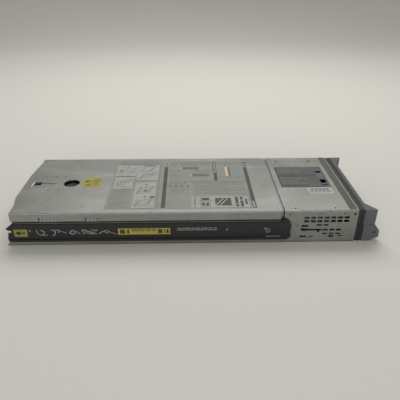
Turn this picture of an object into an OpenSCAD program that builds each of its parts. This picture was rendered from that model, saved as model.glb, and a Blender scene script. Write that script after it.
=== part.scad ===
// Half-height blade server, lying on its side panel with the bezel at +X.
// The metal body starts at x = 0 (rear), y = 0 (guide rail side) and z = 0 (floor),
// and seat() then moves the whole part so that its origin is under its middle.

/* [Body] */
// Length of the metal body
body_len = 481; // [478:1:500]
// Width of the metal body
body_w = 181; // [180:0.5:186]
// Height of the metal body
body_h = 51.5; // [51:0.5:54]
// Sheet metal thickness
sheet_t = 1.2; // [1:0.05:1.25]
// Outer bend radius
bend_r = 2; // [1.5:0.1:2.5]
// Height of the ledge under the cover flange
ledge_z = 36; // [35.5:0.5:37]
// How far the wall above the ledge stands inwards
joggle = 2.2; // [2:0.1:2.5]
// How far the floor lip reaches past the rear edge
rear_lip = 10.2; // [8:0.2:12]
// Height of the rear lip's cheeks
rear_lip_h = 6.6; // [5:0.2:8]

/* [Cover] */
// Height of the cover's side flanges
cover_flange = 12.9; // [11:0.1:13.5]
// Gap between cover and front shell
cover_seam = 3.5; // [2.5:0.1:4]
// How far the cover's rear edge bulges
cover_bulge = 5; // [3:0.5:6]
// Radius of the finger hole
finger_r = 12; // [10:0.25:12.5]
// Finger hole centre from the rear edge
finger_x = 65.7; // [64:0.1:68]
// Latch centre line from the guide rail side
latch_y = 90; // [88:0.5:96]
// Width of the pressed latch channel
channel_w = 26; // [25:0.5:28]
// Depth of the pressed latch channel
channel_d = 0.8; // [0.5:0.1:1]
// Width of the latch window's cross slot
window_w = 20.6; // [18:0.2:22]

/* [Front shell] */
// Length of the fixed front shell
shell_len = 103; // [100:0.5:106]
// Width of the seal strip
seal_w = 10.4; // [8:0.2:11]
// Thickness of the seal strip
seal_t = 0.5; // [0.3:0.05:0.6]
// Distance between vent slots
vent_pitch = 9.4; // [9:0.1:9.6]
// Length of one vent slot
vent_len = 7.2; // [6:0.1:7.6]

/* [Guide rail] */
// How far the rail stands out
rail_out = 2.5; // [2:0.1:4]
// Depth of the groove in the rail
rail_groove = 1.4; // [0.8:0.1:1.6]
// Underside of the rail
rail_z = 6.8; // [6:0.1:7]
// Height of the rail
rail_h = 27.6; // [27:0.1:28]
// How far the rail's tips reach past the rear edge
rail_tip = 7.8; // [6:0.1:9]

/* [Bezel] */
// Depth of the black bezel frame
frame_len = 9.5; // [9:0.1:11]
// Wall of the black bezel frame
frame_t = 1.9; // [1.6:0.1:1.9]
// Thickness of the grey front plate
plate_t = 4.5; // [4:0.1:5.5]
// How far the ears stand out past the plate
ear_out = 13; // [11:0.5:15]
// Width of an ear
ear_w = 25; // [25:0.2:26]
// How far the release lever's lip stands out past the plate
lever_out = 22.4; // [20:0.2:24]
// Height of the release lever
lever_h = 26.6; // [25:0.2:27]
// Radius of the release lever's pin
lever_pin_r = 1.5; // [1.2:0.1:1.8]
// Travel of the release button
release_travel = 2; // [1.5:0.1:2.2]
// Width of a vent cell across its flats
cell_w = 3.8; // [3.2:0.1:3.8]
// Web between vent cells
cell_web = 0.9; // [0.8:0.05:1.2]
// Radius of the power button
power_r = 4.2; // [3.6:0.1:4.6]
// Travel of the power button
power_travel = 1; // [0.8:0.1:1.2]
// Width of the pull tab
tab_w = 38; // [32:0.5:38]
// Thickness of the pull tab
tab_t = 1.4; // [1:0.1:1.6]

/* [Drives] */
// Width of a drive carrier's face
carrier_w = 77; // [76:0.2:77.6]
// Height of a drive carrier's face
carrier_h = 21.6; // [21:0.1:21.8]
// Thickness of a drive carrier's side arm
carrier_arm = 3.275; // [3:0.025:3.4]
// Length of a disk
disk_len = 100.5; // [99:0.1:101]
// Height of a disk
disk_h = 15; // [9.5:0.1:15.2]
// Sheet thickness of the cage
cage_t = 0.8; // [0.6:0.05:0.9]
// Travel of a drive's release button
catch_travel = 1.2; // [0.8:0.1:1.4]

/* [Board] */
// Gap under the system board
board_gap = 5; // [4:0.1:5.5]
// Thickness of the system board
board_t = 1.6; // [1.4:0.1:1.8]
// Rear edge of the system board
board_x = 6; // [5:0.5:8]
// Length of a memory module
dimm_len = 133.35; // [132:0.05:134]
// Height of a memory module
dimm_h = 30; // [18:0.5:31]
// Thickness of a memory module's board
dimm_t = 1.27; // [1.1:0.01:1.4]
// Distance between memory sockets
dimm_pitch = 9.6; // [9.2:0.1:9.8]
// Memory modules in one bank
dimm_n = 4; // [2:1:4]
// Gap between the two heatsinks
sink_between = 11; // [8:0.5:14]
// Width of a heatsink
sink_w = 72; // [66:1:76]
// Height of a heatsink's fins
sink_fin_h = 27; // [20:0.5:28]
// Distance between heatsink fins
sink_pitch = 3; // [2.6:0.1:3.6]
// Height of a mezzanine card above the board
mezz_gap = 12; // [10:0.5:14]
// Length of a mezzanine card
mezz_len = 96; // [90:1:98]
// Gap between the two mezzanine cards
mezz_between = 6.2; // [4:0.2:12]
// Length of the zone for power parts in front of the mezzanine cards
power_zone = 42; // [40:0.5:46]

/* [Fits] */
// Gap between pieces that sit together
seat_gap = 0.3; // [0.2:0.05:0.4]
// Gap round pieces that slide
slide_gap = 0.5; // [0.4:0.05:0.6]
// Radial clearance of a pin in its bore
pin_gap = 0.06; // [0.03:0.01:0.1]

/* [Hidden] */
$fn = 48;
eps = 0.1;

// Driving planes of the body
shell_x = body_len - shell_len;
cover_x = shell_x - cover_seam;
cover_under = body_h - sheet_t;
flange_z = body_h - cover_flange;
frame_x = body_len + frame_len;
plate_x = frame_x + plate_t;
lever_tip = plate_x + lever_out;
x_mid = (lever_tip - rear_lip) / 2;
y_mid = (body_w - rail_out) / 2;

// Drive bay, with its two drives one above the other
bay_w = carrier_w + 2 * slide_gap;
bay_y = ear_w + 2;
bay_z = sheet_t + cage_t;
bay_h = 2 * carrier_h + cage_t + 4 * slide_gap;
drive_y = bay_y + slide_gap;
drive_z = [bay_z + slide_gap, bay_z + carrier_h + 3 * slide_gap + cage_t];
disk_w = carrier_w - 2 * (carrier_arm + seat_gap);
face_len = 13;
face_x = plate_x + 1 - face_len;
disk_x = face_x - 2.5 - disk_len;
socket_len = 8;
plug_len = 3.5;
backplane_t = 1.6;
backplane_x = disk_x - 2 * seat_gap - socket_len - backplane_t;
catch_w = 8;
pocket_d = 5;

// Zone between the drive bay and the far ear
mid_y = bay_y + bay_w + cage_t + 2;
far_ear_y = body_w - 20;
tab_z = body_h - 5.6;
tab_y = mid_y + 4;
tab_x = shell_x + 32;
guide_x = shell_x + 10;
guide_screw_y = body_w - 16;
guide_screw_x = [shell_x + 16.1, shell_x + 71.2];
power_y = far_ear_y - 7;
io_y = mid_y + 3;
io_w = 8;
io_z = 9;
io_h = 32;

// System board and what stands on it
board_z = sheet_t + board_gap;
board_top = board_z + board_t;
board_y = joggle + sheet_t + 3;
board_end = backplane_x - 2;
tongue_x = body_len - 4;
side_margin = 3;
mezz_x = 20;
mezz_w = (body_w - 2 * (board_y + side_margin) - mezz_between) / 2;
power_x = mezz_x + mezz_len + 6;
hot_x = mezz_x + mezz_len + power_zone;
latch_len = 9;
dimm_total = dimm_len + 2 * latch_len;
stud_room = 6;
dimm_x = hot_x + (board_end - hot_x - dimm_total - stud_room) / 2;
stud_front = max(board_end - 8, dimm_x + dimm_total + stud_room / 2);
stud_y = [12, body_w - 11];
stud_xy = [for (x = [30, dimm_x - 16, stud_front], y = stud_y) [x, y],
    [tongue_x - 30, body_w - 8], [board_end - 8, body_w / 2]];
dimm_socket_w = 6.6;
dimm_socket_h = 8;
dimm_y = [board_y + side_margin,
    body_w - board_y - side_margin - (dimm_n - 1) * dimm_pitch - dimm_socket_w];
dimm_lift = 3;
latch_pivot_z = board_top + 4.2;
latch_pivot_in = 4;
latch_h = 17;
cheek_t = 0.8;
sink_rear_gap = 7;
sink_front_gap = 19.8;
sink_len = (board_end - sink_front_gap - sink_between - hot_x - sink_rear_gap) / 2;
sink_x = [hot_x + sink_rear_gap, board_end - sink_front_gap - sink_len];
sink_y = body_w / 2 - sink_w / 2;
cpu_socket_h = 4;
cpu_h = 2.4;
sink_base = 5;
sink_z = board_top + cpu_socket_h + cpu_h;
mezz_y = [board_y + side_margin, body_w - board_y - side_margin - mezz_w];
mezz_z = board_top + mezz_gap;
mezz_inset = 4;

// Release lever's pivot
lever_back = frame_x + 0.5;
pivot_x = lever_back + 10;
pivot_y = 5.2;
lever_z = 0.4;
ear_z = lever_z + lever_h + 0.6;
pin_seat = 4.5;

module seat() {
    translate([-x_mid, -y_mid, 0])
        children();
}

// A block from its lowest to its highest corner
module blk(a, b) {
    translate(a)
        cube(b - a);
}

// A flat outline with round corners, from (0, 0)
module rounded(w, h, r) {
    translate([r, 0])
        square([w - 2 * r, h]);
    translate([0, r])
        square([w, h - 2 * r]);
    for (x = [r, w - r], y = [r, h - r])
        translate([x, y])
            circle(r);
}

// Draws (x, z) outlines as plates that are thick along y, from y0
module plate_xz(y0, t) {
    translate([0, y0 + t, 0])
        rotate([90, 0, 0])
            linear_extrude(t)
                children();
}

// Draws (y, z) outlines as bars that run along x, from x0
module bar_x(x0, len) {
    translate([x0, 0, 0])
        rotate([90, 0, 90])
            linear_extrude(len)
                children();
}

// A round rod along x, y or z
module rod_x(p, r, len) {
    translate(p)
        rotate([0, 90, 0])
            cylinder(h = len, r = r);
}

module rod_y(p, r, len) {
    translate(p)
        rotate([-90, 0, 0])
            cylinder(h = len, r = r);
}

module rod_z(p, r, len) {
    translate(p)
        cylinder(h = len, r = r);
}

// ---- Casing ----

// One side wall of the tray: low wall, ledge and the wall that stands inside the cover
module tray_wall() {
    wall_end = shell_x + 2;
    plate_xz(0, sheet_t)
        polygon([[-rear_lip, 0], [wall_end, 0], [wall_end, ledge_z], [1.3, ledge_z], [0, ledge_z - 2],
            [0, rear_lip_h + 1], [1 - rear_lip / 2, rear_lip_h], [-rear_lip, 1.2]]);
    blk([1.3, 0, ledge_z - sheet_t], [wall_end - 2, joggle + sheet_t, ledge_z]);
    blk([1.3, joggle, ledge_z - sheet_t], [shell_x - 1, joggle + sheet_t, cover_under - seat_gap]);
}

module base_tray() color("darkseagreen") seat() {
    difference() {
        union() {
            blk([-rear_lip, 0, 0], [body_len, body_w, sheet_t]);
            tray_wall();
            translate([0, body_w, 0])
                mirror([0, 1, 0])
                    tray_wall();
        }
        for (y = [-eps, body_w - sheet_t])
            blk([shell_x + 2, y, -eps], [body_len + eps, y + sheet_t + eps, sheet_t + eps]);
        for (x = [90:60:330], y = [30, body_w - 30])
            rod_z([x, y, -eps], 2.2, sheet_t + 2 * eps);
        blk([-rear_lip - eps, body_w / 2 - 22, -eps], [-2, body_w / 2 + 22, sheet_t + eps]);
    }
}

// Slots of the near wall: [first slot, number, top, height], slots counted from the front
vent_rows = [[0, 7, 42, 3.6], [0, 7, 36.5, 4], [3, 2, 29.7, 2.8], [1, 3, 21.8, 3.3], [1, 3, 14.9, 2.3],
    [2, 1, 11, 3.3]];

module vent_cuts() {
    front = body_len - 11.5;
    for (row = vent_rows, i = [row[0] : row[0] + row[1] - 1])
        blk([front - i * vent_pitch - vent_len, -eps, row[2] - row[3]],
            [front - i * vent_pitch, sheet_t + 1, row[2]]);
    // Long keyway with its pointed tab, and the odd slots beside it
    plate_xz(-eps, sheet_t + 1)
        polygon([[shell_x + 25, 18.5], [shell_x + 34, 18.5], [shell_x + 38, 19.3], [shell_x + 47, 19.3],
            [shell_x + 50, 15], [shell_x + 52.5, 19.3], [shell_x + 55.4, 19.3], [shell_x + 55.4, 21.6],
            [shell_x + 34, 22.2], [shell_x + 25, 23.8]]);
    blk([shell_x + 25, -eps, 25.2], [shell_x + 35.2, sheet_t + 1, 28.3]);
    blk([shell_x + 24.2, -eps, 7.8], [shell_x + 34.2, sheet_t + 1, 10.8]);
    blk([shell_x + 37.5, -eps, 8.1], [shell_x + 43.8, sheet_t + 1, 9.8]);
    blk([shell_x + 78.6, -eps, 9], [shell_x + 84.7, sheet_t + 1, 10.8]);
}

module front_shell() color("darkseagreen") seat() {
    seal_x = body_len - 1.7 - seal_w;
    difference() {
        union() {
            bar_x(shell_x, shell_len) difference() {
                rounded(body_w, body_h, bend_r);
                translate([sheet_t, sheet_t])
                    rounded(body_w - 2 * sheet_t, body_h - 2 * sheet_t, bend_r - sheet_t * 0.6);
                translate([-eps, -eps])
                    square([body_w + 2 * eps, 2 * sheet_t]);
            }
            // Lower part of both walls, and the lip that reaches under the cover's front edge
            for (y = [0, body_w - sheet_t])
                blk([shell_x + 2, y, 0], [body_len, y + sheet_t, bend_r + sheet_t]);
            blk([shell_x - 9, joggle + sheet_t + 1, cover_under - sheet_t - seat_gap],
                [shell_x + 4, body_w - joggle - sheet_t - 1, cover_under - seat_gap]);
            blk([shell_x, 6, cover_under - sheet_t], [shell_x + 4, body_w - 6, cover_under]);
            blk([seal_x - 2, sheet_t, cover_under - seal_t], [body_len, body_w - sheet_t, cover_under]);
        }
        // The corner below the ledge belongs to the tray
        for (y = [-eps, body_w - sheet_t - eps])
            blk([shell_x - eps, y, -eps], [shell_x + 2, y + sheet_t + 2 * eps, ledge_z]);
        blk([seal_x, 2, body_h - seal_t], [seal_x + seal_w, body_w + eps, body_h + eps]);
        vent_cuts();
        for (x = guide_screw_x)
            rod_z([x, guide_screw_y, cover_under - 3], 1.7, sheet_t + 4);
        for (p = [[shell_x + 15.7, 7], [shell_x + 71.6, 7.2]])
            rod_z([p[0], p[1], cover_under - 3], 1.5, sheet_t + 4);
        for (p = [[7.3, 46.2, 1.1], [48.8, 46.3, 1.1], [84.3, 46.2, 1.1], [98.6, 45.5, 1.7], [19.7, 27.8, 1.1]])
            rod_y([shell_x + p[0], -eps, p[1]], p[2], sheet_t + 1);
        for (x = [24.2, 33.3, 63.4, 73.9])
            rod_z([shell_x + x, 0.9, body_h - 1.1], 0.8, 2);
        for (z = bezel_rivet_z, y = [-eps, body_w - sheet_t - eps])
            rod_y([bezel_rivet_x, y, z], 1.3 + pin_gap, sheet_t + 2 * eps);
    }
}

// Rear edge of the cover, which bulges past the wall ends
function cover_outline() = [[0, 0], [cover_x, 0], [cover_x, body_w], [0, body_w],
    [0, body_w - 14], [-cover_bulge / 2, body_w - 40], [-cover_bulge, body_w - 68],
    [-cover_bulge, 46], [-cover_bulge / 2, 33], [0, 22]];

module latch_window() {
    // Cross slot, tapered window and the thin slot towards the finger hole
    translate([5, latch_y - window_w / 2])
        square([2.6, window_w]);
    polygon([[7, latch_y - 7], [20, latch_y - 5.6], [20, latch_y + 5.6], [7, latch_y + 4]]);
    translate([19, latch_y - 0.9])
        square([23, 1.8]);
}

// Pressed channel round the latch, from its floor up
module channel_press(t) {
    translate([8, latch_y - channel_w / 2, body_h - channel_d - t])
        linear_extrude(channel_d + t)
            rounded(finger_x - 6, channel_w, 4);
}

module access_cover() color("darkseagreen") seat() {
    flange_cuts = [[38.8, 64.5, 5.9], [102.7, 122, 5.4]];
    difference() {
        union() {
            bar_x(0, cover_x - 1.5) difference() {
                rounded(body_w, body_h, bend_r);
                translate([sheet_t, -eps])
                    rounded(body_w - 2 * sheet_t, body_h - sheet_t + eps, bend_r - sheet_t * 0.6);
                translate([-eps, -eps])
                    square([body_w + 2 * eps, flange_z + eps]);
            }
            translate([0, 0, cover_under]) intersection() {
                linear_extrude(sheet_t)
                    polygon(cover_outline());
                translate([-cover_bulge, 0, -body_h + sheet_t])
                    bar_x(0, cover_x + cover_bulge)
                        rounded(body_w, body_h, bend_r);
            }
            channel_press(sheet_t);
        }
        translate([0, 0, sheet_t])
            channel_press(0);
        translate([0, 0, cover_under - 2])
            linear_extrude(4)
                latch_window();
        rod_z([finger_x, latch_y, cover_under - 4], finger_r, 8);
        for (y = [-eps, body_w - sheet_t - eps], c = flange_cuts)
            blk([c[0], y, flange_z - eps], [c[1], y + sheet_t + 2 * eps, flange_z + c[2]]);
        for (p = [[4.8, latch_y + 20.9], [4.7, latch_y - 17], [95.8, 16.5]])
            rod_z([p[0], p[1], cover_under - eps], 1, sheet_t + 2 * eps);
        for (x = latch_rivet_x, y = latch_rivet_y)
            rod_z([x, y, cover_under - eps], 1.3 + pin_gap, sheet_t + 2 * eps);
    }
}

// The rocker latch turns on its bracket: pressing the pad lifts the tongue at the rear
rocker_x = 43;
rocker_z = cover_under - channel_d - 4.2;
rocker_pin_r = 1.2;
rocker_w = channel_w - 6;
latch_rivet_x = [35.4, 50.7];
latch_rivet_y = [latch_y - 22.1, latch_y + 24.3];

// The bracket's feet lie against the cover on both sides of the channel and its ears hold the pin
latch_foot_z = cover_under - channel_d - seat_gap - 1.2;

module latch_bracket() color("silver") seat() {
    in = rocker_w / 2 + slide_gap;
    foot = latch_foot_z;
    difference() {
        union() {
            for (s = [0, 1]) {
                y_in = s == 0 ? latch_y - in - 1 : latch_y + in;
                y0 = s == 0 ? latch_rivet_y[0] - 3 : latch_y + in;
                y1 = s == 0 ? latch_y - in : latch_rivet_y[1] + 3;
                blk([rocker_x - 11, y0, foot], [rocker_x + 11, y1, cover_under]);
                blk([rocker_x - 4, y_in, rocker_z - 3], [rocker_x + 4, y_in + 1, foot + 0.5]);
            }
        }
        blk([rocker_x - 12, latch_y - channel_w / 2 - 0.5, cover_under - channel_d - seat_gap],
            [rocker_x + 12, latch_y + channel_w / 2 + 0.5, cover_under + eps]);
        rod_y([rocker_x, latch_y - in - 2, rocker_z], rocker_pin_r + pin_gap, 2 * in + 4);
        for (x = latch_rivet_x, y = latch_rivet_y)
            rod_z([x, y, foot - eps], 1.3 + pin_gap, cover_under - foot + 2 * eps);
    }
}

module cover_latch() color("dimgray") seat() {
    top = cover_under - channel_d - 1.6;
    difference() {
        union() {
            // Leaf with its raised tongue under the window and the finger pad in the hole
            translate([9, latch_y - rocker_w / 2, rocker_z - 0.6])
                linear_extrude(1.2)
                    rounded(finger_x + finger_r - 11, rocker_w, 3);
            plate_xz(latch_y - 4, 8)
                polygon([[9, rocker_z], [20, rocker_z], [18, top], [10, top]]);
            rod_z([finger_x, latch_y, rocker_z], finger_r - 2.2, top - rocker_z - 0.6);
            rod_y([rocker_x, latch_y - rocker_w / 2, rocker_z], 2.4, rocker_w);
            rod_y([rocker_x, latch_y - rocker_w / 2 - slide_gap - 1, rocker_z], rocker_pin_r,
                rocker_w + 2 * slide_gap + 2);
        }
        // Finger dish with grip ridges left standing
        for (i = [-2:2])
            blk([finger_x + i * 3.4 - 1, latch_y - 7, top - 1.4], [finger_x + i * 3.4 + 1, latch_y + 7, top + 1]);
    }
}

module latch_rivets() color("gray") seat()
    for (x = latch_rivet_x, y = latch_rivet_y) {
        rod_z([x, y, latch_foot_z - 0.6], 1.3, body_h - 0.2 - latch_foot_z + 0.6);
        rod_z([x, y, latch_foot_z - 0.6], 2.1, 0.6);
    }

module side_clips() color("silver") seat() {
    // Sprung contact fingers that show through the cover's flange notches
    for (c = [[40, 5], [104, 3]], i = [0 : c[1] - 1]) {
        x = c[0] + i * 5;
        blk([x, joggle - 0.4, flange_z - 1.6], [x + 4, joggle, flange_z + 5]);
        blk([x + 0.6, sheet_t + 0.2, flange_z + 1], [x + 3.4, joggle - 0.3, flange_z + 3]);
    }
}

module emi_gasket() color("rosybrown") seat() {
    seal_x = body_len - 1.7 - seal_w;
    blk([seal_x + 0.3, 2.3, body_h - seal_t], [seal_x + seal_w - 0.3, body_w - 0.3, body_h - 0.1]);
}

module rail_outline() {
    top = rail_z + rail_h;
    // Forked rear end, long body, and the stepped front end
    polygon([[0.5, top + 0.4], [shell_x - 3, top + 0.4], [shell_x - 2, ledge_z + 3.8],
        [shell_x + 3.5, ledge_z + 3.2], [shell_x + 7.5, ledge_z - 0.5], [shell_x + 10.4, rail_z + 21.8],
        [shell_x + 9.2, rail_z + 13], [shell_x + 10.8, rail_z + 4], [shell_x + 5, rail_z - 0.8],
        [-2.7, rail_z], [2.2 - rail_tip, rail_z + 1], [-rail_tip, rail_z + 5.2], [2.8 - rail_tip, rail_z + 14.2],
        [-0.4, rail_z + 15.2], [0.2, rail_z + 18.3], [2.5 - rail_tip, rail_z + 19.5], [0.4 - rail_tip, rail_z + 21.6]]);
}

module side_rail() color("#1d1e21") seat() {
    top = rail_z + rail_h;
    groove_z = [rail_z + 3.4, rail_z + 11.6];
    difference() {
        plate_xz(-rail_out, rail_out)
            rail_outline();
        // Running groove, lead-in chamfer along the top and pockets at the ends
        blk([-20, -rail_out - eps, groove_z[0]], [shell_x - 6, -rail_out + rail_groove, groove_z[1]]);
        translate([-20, -rail_out, top + 0.4])
            rotate([45, 0, 0])
                blk([0, -0.7, -0.7], [shell_x + 17, 0.7, 0.7]);
        blk([shell_x - 24, -rail_out - eps, groove_z[0] + 0.6], [shell_x - 4, -rail_out + rail_groove + 0.3,
            groove_z[0] + 4]);
        for (p = rail_rivet_xz) {
            rod_y([p[0], -rail_out - eps, p[1]], 1.9, 1);
            rod_y([p[0], -rail_out - eps, p[1]], 1.1 + pin_gap, rail_out + 1);
        }
        blk([shell_x + 4, -rail_out - eps, rail_z + 3], [shell_x + 9, -rail_out + 0.6, rail_z + 9]);
    }
}

rail_rivet_xz = [[25, rail_z + 18], [298.4, rail_z + 17], [shell_x - 26, rail_z + 18.2]];

module rail_rivets() color("lightgray") seat()
    for (p = rail_rivet_xz) {
        rod_y([p[0], -rail_out + 0.3, p[1]], 1.7, 0.55);
        rod_y([p[0], -rail_out + 0.5, p[1]], 1.1, rail_out - 0.5);
    }

module rear_bracket() color("silver") seat() {
    y0 = joggle + sheet_t + seat_gap;
    y1 = body_w - y0;
    top = rocker_z - 2.4;
    difference() {
        union() {
            blk([2, y0, sheet_t], [3.2, y1, top]);
            blk([2, y0, top - sheet_t], [14, y1, top]);
            blk([2, y0, sheet_t], [5, y0 + 1.2, top]);
            blk([2, y1 - 1.2, sheet_t], [5, y1, top]);
        }
        for (w = rear_windows)
            blk([1, w[0] - slide_gap, board_top - slide_gap], [4, w[1] + slide_gap, w[2] + slide_gap]);
        blk([1, board_y - 3, board_z - 1], [4, body_w - board_y + 3, board_top + 0.4]);
        for (y = [y0 + 6, y1 - 6])
            for (z = [16:8:32])
                rod_x([1, y, z], 1.6, 3);
    }
}

// ---- Front ----

module ear_wedge(z0, z1) {
    // Plan outline that slopes from the tip down to the plate, along the near side
    tip = plate_x + ear_out;
    translate([0, 0, z0])
        linear_extrude(z1 - z0)
            polygon([[frame_x, 0.6], [tip - 1, 0.6], [tip, 1.9], [plate_x, 19.9], [plate_x, ear_w], [frame_x, ear_w]]);
}

module bezel_frame() color("#222326") seat() {
    difference() {
        union() {
            bar_x(body_len, frame_len) difference() {
                rounded(body_w, body_h, 3);
                translate([frame_t, frame_t])
                    rounded(body_w - 2 * frame_t, body_h - 2 * frame_t, 2);
            }
            // Ribs that stand on the frame's inner walls, beside the lever and the far ear
            blk([body_len, ear_w - 1.2, frame_t - eps], [frame_x, ear_w, body_h - frame_t + eps]);
            blk([body_len, far_ear_y, frame_t - eps], [frame_x, far_ear_y + 1.2, body_h - frame_t + eps]);
            blk([frame_x - 1.2, frame_t, frame_t], [frame_x, ear_w, ear_z + 2]);
            // Tongues that the rivets hold inside the shell's walls
            for (s = [0, 1], z = bezel_rivet_z)
                translate([0, s * body_w, 0])
                    mirror([0, s, 0])
                        blk([body_len - 9, sheet_t, z - 5], [body_len + eps, sheet_t + 2, z + 5]);
        }
        for (s = [0, 1], z = bezel_rivet_z)
            translate([bezel_rivet_x, s * body_w, z])
                mirror([0, s, 0])
                    rod_y([0, -eps, 0], 1.3 + pin_gap, sheet_t + 3);
        // Shallow groove round the frame, and a clip window on the near side
        difference() {
            blk([body_len + 3.4, -eps, -eps], [body_len + 5.6, body_w + eps, body_h + eps]);
            translate([0, 0.5, 0.5])
                bar_x(body_len + 3, 4)
                    rounded(body_w - 1, body_h - 1, 2.6);
        }
        blk([body_len + 2.4, -eps, 27], [body_len + 4.6, 0.9, 31]);
    }
}

bezel_rivet_x = body_len - 4.5;
bezel_rivet_z = [12.4, 38.3];

module bezel_rivets() color("white") seat()
    for (s = [0, 1], z = bezel_rivet_z)
        translate([bezel_rivet_x, s * body_w, z])
            mirror([0, s, 0])
                rod_y([0, 0.05, 0], 1.3, sheet_t + 2.2);

module front_bezel() color("#5c5a60") seat() {
    difference() {
        union() {
            blk([frame_x, ear_w, 0.3], [plate_x, far_ear_y, body_h - 0.3]);
            ear_wedge(ear_z, body_h - 0.3);
            translate([0, body_w, 0])
                mirror([0, 1, 0])
                    ear_wedge(0.3, body_h - 0.3);
        }
        blk([frame_x - 1, bay_y, bay_z], [plate_x + 1, bay_y + bay_w, bay_z + bay_h]);
        bezel_cells();
        // Connector window, pull tab slot, power button and light pipes
        blk([frame_x - 1, io_y - seat_gap, io_z - seat_gap], [plate_x + 1, io_y + io_w + seat_gap, io_z + io_h + seat_gap]);
        blk([frame_x - 1, tab_y - slide_gap, tab_z - slide_gap],
            [plate_x + 1, tab_y + tab_w + slide_gap, tab_z + tab_t + slide_gap]);
        rod_x([frame_x - 1, power_y, power_z], power_r + slide_gap, plate_t + 2);
        for (z = pipe_z)
            rod_x([frame_x - 1, power_y, z], pipe_r + seat_gap, plate_t + 2);
        release_button_cut();
        rod_z([pivot_x, pivot_y, ear_z - eps], lever_pin_r + pin_gap, pin_seat + eps);
        // Grip flutes down the far ear's outer face
        for (i = [0:3])
            blk([plate_x + ear_out - 3.2 - i * 2.4, body_w - 1.2, 8], [plate_x + ear_out - 2.2 - i * 2.4, body_w + 1, body_h - 8]);
    }
}

power_z = board_top + 5;
pipe_r = 1.1;
pipe_z = [22, 27, 32, 37];

// Hexagonal vent cells between the connector and the power button
module bezel_cells() {
    y0 = io_y + io_w + 4;
    y1 = power_y - power_r - 2;
    z0 = 4;
    z1 = tab_z - 3;
    step = cell_w + cell_web;
    row = step * sin(60);
    cols = floor((y1 - y0) / step);
    rows = floor((z1 - z0) / row);
    for (j = [0 : rows - 1], i = [0 : cols - 1 - j % 2])
        translate([frame_x - 1, y0 + (i + 0.5 + (j % 2) / 2) * step, z0 + (j + 0.5) * row])
            rotate([0, 90, 0])
                cylinder(h = plate_t + 2, d = cell_w / cos(30), $fn = 6);
}

// Release button's outline in the sloped ear: pocket when grown by a gap
rel_y = [7, 15.5];
rel_z = [ear_z + 5.5, ear_z + 17.5];

module release_button_cut() {
    g = slide_gap;
    blk([frame_x + 1.2, rel_y[0] - g, rel_z[0] - g], [plate_x + ear_out + 2, rel_y[1] + g, rel_z[1] + g]);
}

module release_button() color("#6f6a80") seat() {
    slope = ear_out / 18;
    front = plate_x + 0.8;
    x_at = [front + (19.9 - rel_y[0]) * slope, front + (19.9 - rel_y[1]) * slope];
    back = frame_x + 1.2 + release_travel + 0.4;
    difference() {
        translate([0, 0, rel_z[0]])
            linear_extrude(rel_z[1] - rel_z[0])
                polygon([[back, rel_y[0]], [x_at[0], rel_y[0]], [x_at[1], rel_y[1]], [back, rel_y[1]]]);
        for (i = [0:2])
            translate([x_at[1] - 0.2, rel_y[1], rel_z[0] + 3 + i * 3])
                rotate([0, 0, -atan(18 / ear_out)])
                    translate([-1, -0.7, -0.6])
                        cube([14, 1.2, 1.2]);
    }
}

// Lever in side view (x, z), with its curved undercut
module lever_side() {
    difference() {
        polygon([[lever_back, lever_z], [plate_x + 11.5, lever_z], [plate_x + 16, 4.7], [lever_tip, 5.2],
            [lever_tip - 0.6, 15.4], [lever_tip - 1.4, 17.2], [plate_x + ear_out, lever_z + lever_h],
            [lever_back, lever_z + lever_h]]);
        translate([plate_x + 16.4, -1.4])
            circle(6);
    }
}

// Lever in plan (x, y): round heel about the pivot, finger end relieved at the back
module lever_plan() {
    r = 4;
    polygon([[lever_back, 0.6 + r], [lever_back + r, 0.6], [lever_tip - 4, 0.6], [lever_tip, 3], [lever_tip, 6],
        [plate_x + 2.6, ear_w - 0.9], [plate_x - 0.6, ear_w - 0.9], [lever_back, 17]]);
    translate([lever_back + r, 0.6 + r])
        circle(r);
}

module release_lever() color("#5c5a60") seat() {
    difference() {
        intersection() {
            plate_xz(0, ear_w)
                lever_side();
            linear_extrude(body_h)
                lever_plan();
        }
        rod_z([pivot_x, pivot_y, -eps], lever_pin_r + pin_gap, body_h);
        rod_z([pivot_x, pivot_y, -eps], lever_pin_r + 1.2, lever_z + 2 + eps);
        // Hollow behind the finger lip, and the small pocket on the end face
        translate([plate_x + 4.5, 11, lever_z + 3])
            linear_extrude(lever_h - 6)
                polygon([[-3.5, -2], [7, -2], [1, 7.5], [-2, 7.5]]);
        blk([plate_x + 12, 0, 13.6], [plate_x + 15.8, 1.8, 15.6]);
    }
}

module lever_pin() color("silver") seat() {
    rod_z([pivot_x, pivot_y, lever_z + 0.4], lever_pin_r, ear_z - lever_z + pin_seat - 0.8);
    rod_z([pivot_x, pivot_y, lever_z + 0.4], lever_pin_r + 1, 1.5);
}

module power_button() color("#d7dbdc") seat() {
    back = frame_x - 6.3;
    difference() {
        union() {
            rod_x([back, power_y, power_z], power_r, plate_x + 0.6 - back);
            rod_x([frame_x - 1.7, power_y, power_z], power_r + 1.4, 1.2);
        }
        rod_x([plate_x - 0.2, power_y, power_z], power_r - 1.2, 2);
    }
}

module power_switch() color("#303236") seat() {
    back = frame_x - 6.3 - power_travel - 0.2;
    blk([back - 10, power_y - 5, board_top], [back - 1.6, power_y + 5, board_top + 10]);
    rod_x([back - 2, power_y, power_z], 1.7, 2);
}

module light_pipes() color("honeydew") seat()
    for (z = pipe_z) {
        rod_x([frame_x - 12, power_y, z], pipe_r, plate_t + 12.3);
        blk([frame_x - 13, power_y - 1.6, z - 1.6], [frame_x - 11, power_y + 1.6, z + 1.6]);
    }

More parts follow.
